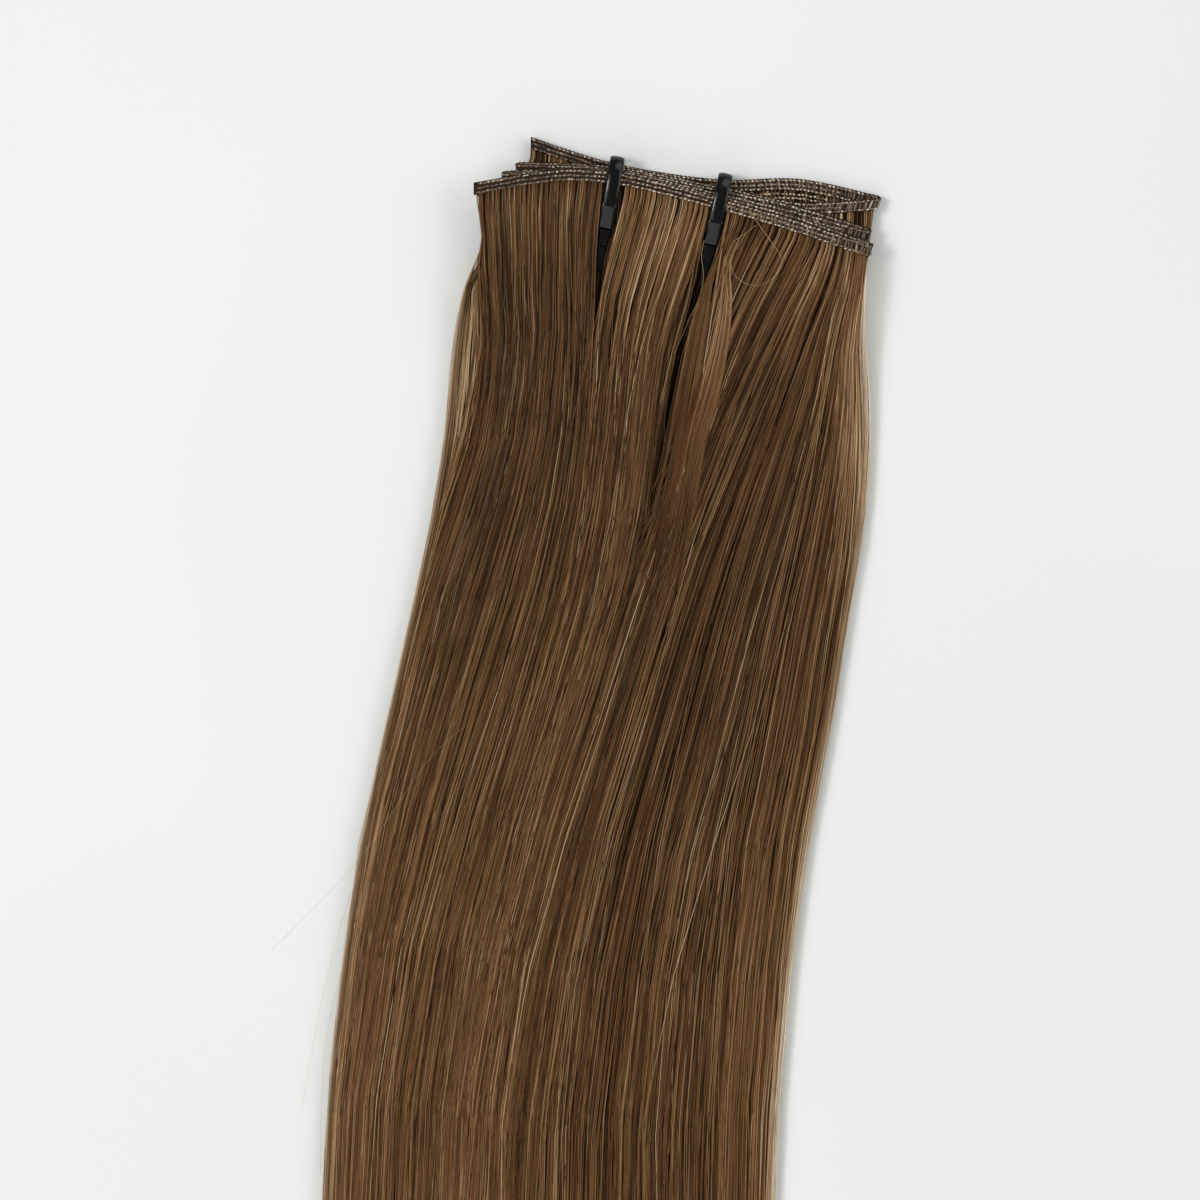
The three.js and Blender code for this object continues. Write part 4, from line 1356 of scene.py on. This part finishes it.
def lock_hairs(random, count, level, tint_range, points):
    """Paths, widths and tints of the hairs of a lock that lies over the others."""
    shape = (count, 1)
    x, y, half = np.array(points)[::-1].T
    start = y[-1] - LOCK_STARTS * random.uniform(0.0, 1.0, shape) ** 0.35
    end = y[0] + random.uniform(0.0, LOCK_ENDS, shape)
    rows = lerp(start, end, LOCK_RUN)
    within = random.uniform(-1.0, 1.0, shape)
    phase = random.uniform(0.0, 2 * np.pi, shape)
    across = cubic_through(y, x, rows) + within * cubic_through(y, half, rows)
    across = across + 0.25 * LOCK_RUN * np.sin(rows / 9.0 + phase)
    # The lock comes up from under its neighbours, is rounded, and sinks in again at its end
    height = level + 0.5 * np.sqrt(1.0 - 0.8 * within**2) * random.uniform(0.0, 1.0, shape)
    height = height - 0.6 * smoothstep(LOCK_RUN, 0.7, 1.0) - 1.0 + smoothstep(LOCK_RUN, 0.0, 0.12)
    paths = np.stack([across, rows, stack_z(across, rows, FRONT + height)], axis=-1)
    widths = settings().hair.width / MM * random.uniform(0.6, 1.0, shape)
    tints = random.uniform(*tint_range, shape) * lerp(1.0, 0.62, smoothstep(LOCK_RUN, 0.15, 0.7))
    return paths, widths * lerp(1.0, 0.35, smoothstep(LOCK_RUN, 0.75, 1.0)), tints


class HAIREXT_OT_locks(bpy.types.Operator):
    """Builds the few locks that lie over the others below the right tie"""

    bl_idname = "hair_extension.locks"
    bl_label = "Single Locks"

    def execute(self, context):
        random = np.random.default_rng(settings().hair.seed + 40)
        paths, widths, tints = stacked([lock_hairs(random, *lock) for lock in LOCKS])
        piece = tube_piece("hair_locks", paths, widths, HAIR_FLATNESS, tints, LOCK_RUN)
        finish_piece(piece, bpy.data.materials["dyed_human_hair"], "human_hair")
        return {"FINISHED"}


def edge_hairs(random, count):
    """Paths, widths and tints of thin hairs along both sides, one in three of them at the left."""
    shape = (count, 1)
    at_left = np.arange(count)[:, None] % 3 == 0
    side = np.where(at_left, -1.0, 1.0)
    start = np.where(at_left, *EDGE_START_Y) - random.uniform(0.0, 12.0, shape)
    end = TIP_Y + random.uniform(0.0, 40.0, shape)
    y = lerp(start, end, STATIONS**0.8)
    left, _, _, right = outline(y)
    base = np.where(at_left, random.uniform(-1.0, 0.2, shape), random.uniform(-2.4, 0.3, shape))
    wave = random.uniform(18.0, 50.0, shape)
    phase = random.uniform(0.0, 2 * np.pi, shape)
    reach = np.abs(random.normal(0.0, 0.3, shape))
    out = np.minimum(base + reach * np.sin(y / wave + phase), EDGE_FURTHEST)
    out = out * smoothstep(start - y, -2.0, 25.0)
    x = np.where(at_left, left, right) + side * out
    z = np.maximum(stack_z(x, y, random.uniform(0.2, 6.2, shape)), EDGE_FLOOR)
    widths = np.tile(settings().hair.width / MM * random.uniform(0.4, 0.7, shape), (1, len(STATIONS)))
    # The right edge is lit through most, near the weft and low down
    pale = np.where(at_left, 0.35, np.interp(y, *RIGHT_EDGE_PALE)) + 0.3 * np.clip(out, -1.5, 0.5)
    tints = np.clip(pale + random.uniform(-0.2, 0.2, shape), 0.0, 1.0)
    return np.stack([x, y, z], axis=-1), widths, tints


def stray_path(heights, points):
    """Points down a single hair, through its points on the table and between the heights of its ends."""
    points = np.array(points)
    reached = np.concatenate([[0.0], np.cumsum(np.linalg.norm(np.diff(points, axis=0), axis=1))])
    line = [cubic_through(reached, values, STRAY_RUN * reached[-1]) for values in points.T]
    return np.stack([*line, lerp(*heights, STRAY_RUN)], axis=-1)


class HAIREXT_OT_edge_hair(bpy.types.Operator):
    """Builds the thin light hairs along both sides, and the ones that stray from the rest"""

    bl_idname = "hair_extension.edge_hair"
    bl_label = "Edge and Stray Hairs"

    def execute(self, context):
        random = np.random.default_rng(settings().hair.seed + 50)
        paths, widths, tints = edge_hairs(random, EDGE_HAIRS)
        piece = tube_piece("hair_edges", paths, widths, 1.0, tints, STATIONS)
        finish_piece(piece, edge_material(settings().colours), "human_hair")
        paths = np.array([stray_path(*stray) for stray in STRAYS])
        # The hairs that lie high, by the right tie, are drawn thicker than the ones beside the part
        girth = np.where(paths[:, :1, 2] > STRAY_HIGH, 0.55, 0.26) * settings().hair.width / MM
        widths, tints = np.tile(girth, (1, len(STRAY_RUN))), np.full(paths.shape[:2], STRAY_TINT)
        piece = tube_piece("hair_strays", paths, widths, 1.0, tints, STRAY_RUN)
        finish_piece(piece, bpy.data.materials["dyed_human_hair"], "human_hair")
        return {"FINISHED"}


def rounded_section(width, top, bottom, radius, reach=1.0):
    """Points round a rectangle with rounded corners, from its upper right corner against the clock. The
    rounding reaches further across the face than down the side by a factor."""
    corners = ((1, 1, 0.0), (-1, 1, 90.0), (-1, -1, 180.0), (1, -1, 270.0))
    points = []
    for side, up, first in corners:
        x = side * (width / 2 - reach * radius)
        z = (top - radius) if up > 0 else (bottom + radius)
        for angle in np.radians(np.linspace(first, first + 90.0, CORNER_POINTS)):
            points.append((x + reach * radius * math.cos(angle), z + radius * math.sin(angle)))
    return np.array(points)


def loop_line():
    """Middle line of the strap's closed loop in side view: distance from the loop's top end, and height."""
    deep = TIE_THICKNESS / 2
    radius = TIE_CORNER - deep
    turn = np.linspace(0.0, np.pi / 2, 9)
    points = [(a, deep) for a in np.linspace(TIE_RETURN_START, TIE_CORNER, 8)[:-1]]
    points += [(TIE_CORNER - radius * math.sin(t), TIE_CORNER - radius * math.cos(t)) for t in turn]
    wide, high = TIE_BOW[0] - deep, TIE_BOW[1] - deep
    points += [(TIE_BOW[0] - wide * math.cos(t), TIE_TOP - TIE_BOW[1] + high * math.sin(t)) for t in turn]
    # Past its flat the strap runs down to the head, and dives inside it
    at = np.linspace(TIE_BOW[0], TIE_LOOP_END[0] - deep, 16)[1:]
    points += list(zip(at, cubic_through(*zip(*TIE_FRONT), at) - deep))
    bulge = TIE_LOOP_END[0] + TIE_BULGE - 1.4 * deep
    control = (points[-1], (bulge, TIE_LOOP_END[1] - TIE_BULGE), (bulge, deep), (TIE_RETURN_START, deep))
    for t in np.linspace(0.0, 1.0, 10)[1:-1]:
        share = np.array(((1 - t) ** 3, 3 * t * (1 - t) ** 2, 3 * t**2 * (1 - t), t**3))
        points.append(tuple(share @ np.array(control)))
    return np.array(points)


def strap_rings(edge):
    """Sections of the strap, square to its loop."""
    line = loop_line()
    along = np.roll(line, -1, axis=0) - np.roll(line, 1, axis=0)
    along /= np.linalg.norm(along, axis=1, keepdims=True)
    outward = np.stack([-along[:, 1], along[:, 0]], axis=1)
    section = rounded_section(TIE_WIDTH, TIE_THICKNESS / 2, -TIE_THICKNESS / 2, edge, STRAP_ROUNDING)
    rings = np.zeros((len(line), len(section), 3))
    rings[:, :, 0] = section[:, 0]
    rings[:, :, 1:] = line[:, None, :] + outward[:, None, :] * section[:, 1:]
    return rings


def upright_ring(distance, section):
    """A section stood upright at a distance down the tie."""
    return [(across, distance, z) for across, z in section]


def head_face(distance):
    """Height of the sloping face that the tie's head stands on."""
    slope = (TIE_LOOP_END[1] - TIE_BEND[1]) / (TIE_LOOP_END[0] - TIE_BEND[0])
    return TIE_BEND[1] + slope * (distance - TIE_BEND[0])


def tie_arrays(edge, head_edge):
    """Vertices and triangles of a tie: across it, down it from its top end, and up."""
    head = []
    for distance, width, rise, depth, corner in TIE_HEAD:
        face = head_face(distance)
        section = rounded_section(width, face + rise, face + 0.25 - depth, corner * head_edge, HEAD_ROUNDING)
        head.append(upright_ring(distance, section))
    tail = []
    for distance, width, rise in TIE_TAIL:
        face = TAIL_START[1] - TAIL_SLOPE * (distance - TAIL_START[0])
        section = rounded_section(width, face + rise, face - TAIL_DEPTH, TAIL_CORNER)
        tail.append(upright_ring(distance, section))
    return joined([skin(strap_rings(edge), True), skin(np.array(head)), skin(np.array(tail))])


def on_grained_face(places):
    """Which places on a tie are on the grained face of its head."""
    across, distance, z = places.T
    level = np.abs(z - head_face(distance) - GRAIN_RISE) < 0.05
    between = (distance > GRAIN_ENDS[0]) & (distance < GRAIN_ENDS[1])
    return level & between & (np.abs(across) < GRAIN_HALF_WIDTH)


class HAIREXT_OT_ties(bpy.types.Operator):
    """Builds the two cable ties: strap loop, stepped head with its grained face, and tapered tail"""

    bl_idname = "hair_extension.ties"
    bl_label = "Cable Ties"

    def execute(self, context):
        sizes = settings().ties
        vertices, faces = tie_arrays(sizes.edge / MM, sizes.head_edge / MM)
        grained = on_grained_face(vertices[faces].mean(axis=1))
        across, down, up = vertices.T
        gloss, matt = nylon_material(settings().colours), matt_nylon_material(settings().colours)
        for side, (x, y, lean) in TIES.items():
            cosine, sine = math.cos(math.radians(lean)), math.sin(math.radians(lean))
            turned = (x + across * cosine - down * sine, y - across * sine - down * cosine, up)
            piece = new_piece(f"cable_tie_{side}", np.stack(turned, axis=1), faces[:, ::-1])
            piece.data.set_sharp_from_angle(angle=TIE_SHARP_ANGLE)
            finish_piece(piece, gloss, "nylon", f"tie_{side}")
            piece.data.materials.append(matt)
            piece.data.polygons.foreach_set("material_index", grained.astype(np.int32))
        return {"FINISHED"}


def add_light(name, place, size, power):
    """A square soft box that faces the part."""
    light = bpy.data.objects.new(name, bpy.data.lights.new(name, "AREA"))
    light.data.shape = "SQUARE"
    light.data.size = size
    light.data.energy = power
    light.location = place
    aim = np.array(LIGHT_AIM) - np.array(place)
    flat = math.hypot(aim[0], aim[1])
    light.rotation_euler = (math.atan2(flat, -aim[2]), 0.0, math.atan2(-aim[0], aim[1]))
    bpy.context.scene.collection.objects.link(light)


class HAIREXT_OT_stage(bpy.types.Operator):
    """Lays the table, and sets the lights and the camera straight above it"""

    bl_idname = "hair_extension.stage"
    bl_label = "Stage"

    def execute(self, context):
        scene = context.scene
        sizes = settings().stage
        half = sizes.table_width / MM / 2
        corners = [(x * half, y * half, -TABLE_DROP) for x, y in ((-1, -1), (1, -1), (1, 1), (-1, 1))]
        table = new_piece("table_top", np.array(corners), np.array([[0, 1, 2, 3]]), smooth=False)
        table.data.materials.append(table_material(settings().colours))
        camera = bpy.data.objects.new("camera", bpy.data.cameras.new("camera"))
        camera.location = (0.0, sizes.frame_y, sizes.camera_height)
        camera.data.sensor_width = SENSOR_WIDTH
        camera.data.lens = SENSOR_WIDTH * sizes.camera_height / sizes.frame_width
        camera.data.clip_end = CAMERA_REACH
        scene.collection.objects.link(camera)
        scene.camera = camera
        for light in LIGHTS:
            add_light(*light)
        world = bpy.data.worlds.new("room_light")
        world.use_nodes = True
        background = world.node_tree.nodes["Background"]
        background.inputs["Color"].default_value = ROOM_COLOUR
        background.inputs["Strength"].default_value = ROOM_STRENGTH
        scene.world = world
        scene.view_settings.view_transform = "Standard"
        return {"FINISHED"}


class HAIREXT_PT_panel(bpy.types.Panel):
    """Lists the pieces and the settings of the hair extension"""

    bl_label = "Hair Extension"
    bl_idname = "HAIREXT_PT_panel"
    bl_space_type = "VIEW_3D"
    bl_region_type = "UI"
    bl_category = "Hair Extension"

    def draw(self, context):
        for operator in OPERATORS:
            self.layout.operator(operator.bl_idname)
        for group in ("hair", "stitches", "ties", "stage", "colours"):
            box = self.layout.box()
            values = getattr(settings(), group)
            for name in values.bl_rna.properties.keys():
                if name not in ("rna_type", "name"):
                    box.prop(values, name)


OPERATORS = (
    HAIREXT_OT_stage,
    HAIREXT_OT_weft,
    HAIREXT_OT_stitches,
    HAIREXT_OT_core,
    HAIREXT_OT_front_hair,
    HAIREXT_OT_inner_hair,
    HAIREXT_OT_locks,
    HAIREXT_OT_edge_hair,
    HAIREXT_OT_ties,
)
CLASSES = (
    HairSizes,
    StitchSizes,
    TieSizes,
    StageSizes,
    Colours,
    HairExtensionSettings,
    *OPERATORS,
    HAIREXT_PT_panel,
)


def register():
    for cls in CLASSES:
        bpy.utils.register_class(cls)
    bpy.types.Scene.hair_extension = bpy.props.PointerProperty(type=HairExtensionSettings)


def unregister():
    del bpy.types.Scene.hair_extension
    for cls in reversed(CLASSES):
        bpy.utils.unregister_class(cls)


def main():
    register()
    bpy.ops.hair_extension.stage()
    bpy.ops.hair_extension.weft()
    bpy.ops.hair_extension.stitches()
    bpy.ops.hair_extension.core()
    bpy.ops.hair_extension.front_hair()
    bpy.ops.hair_extension.inner_hair()
    bpy.ops.hair_extension.locks()
    bpy.ops.hair_extension.edge_hair()
    bpy.ops.hair_extension.ties()


if __name__ == "__main__":
    main()
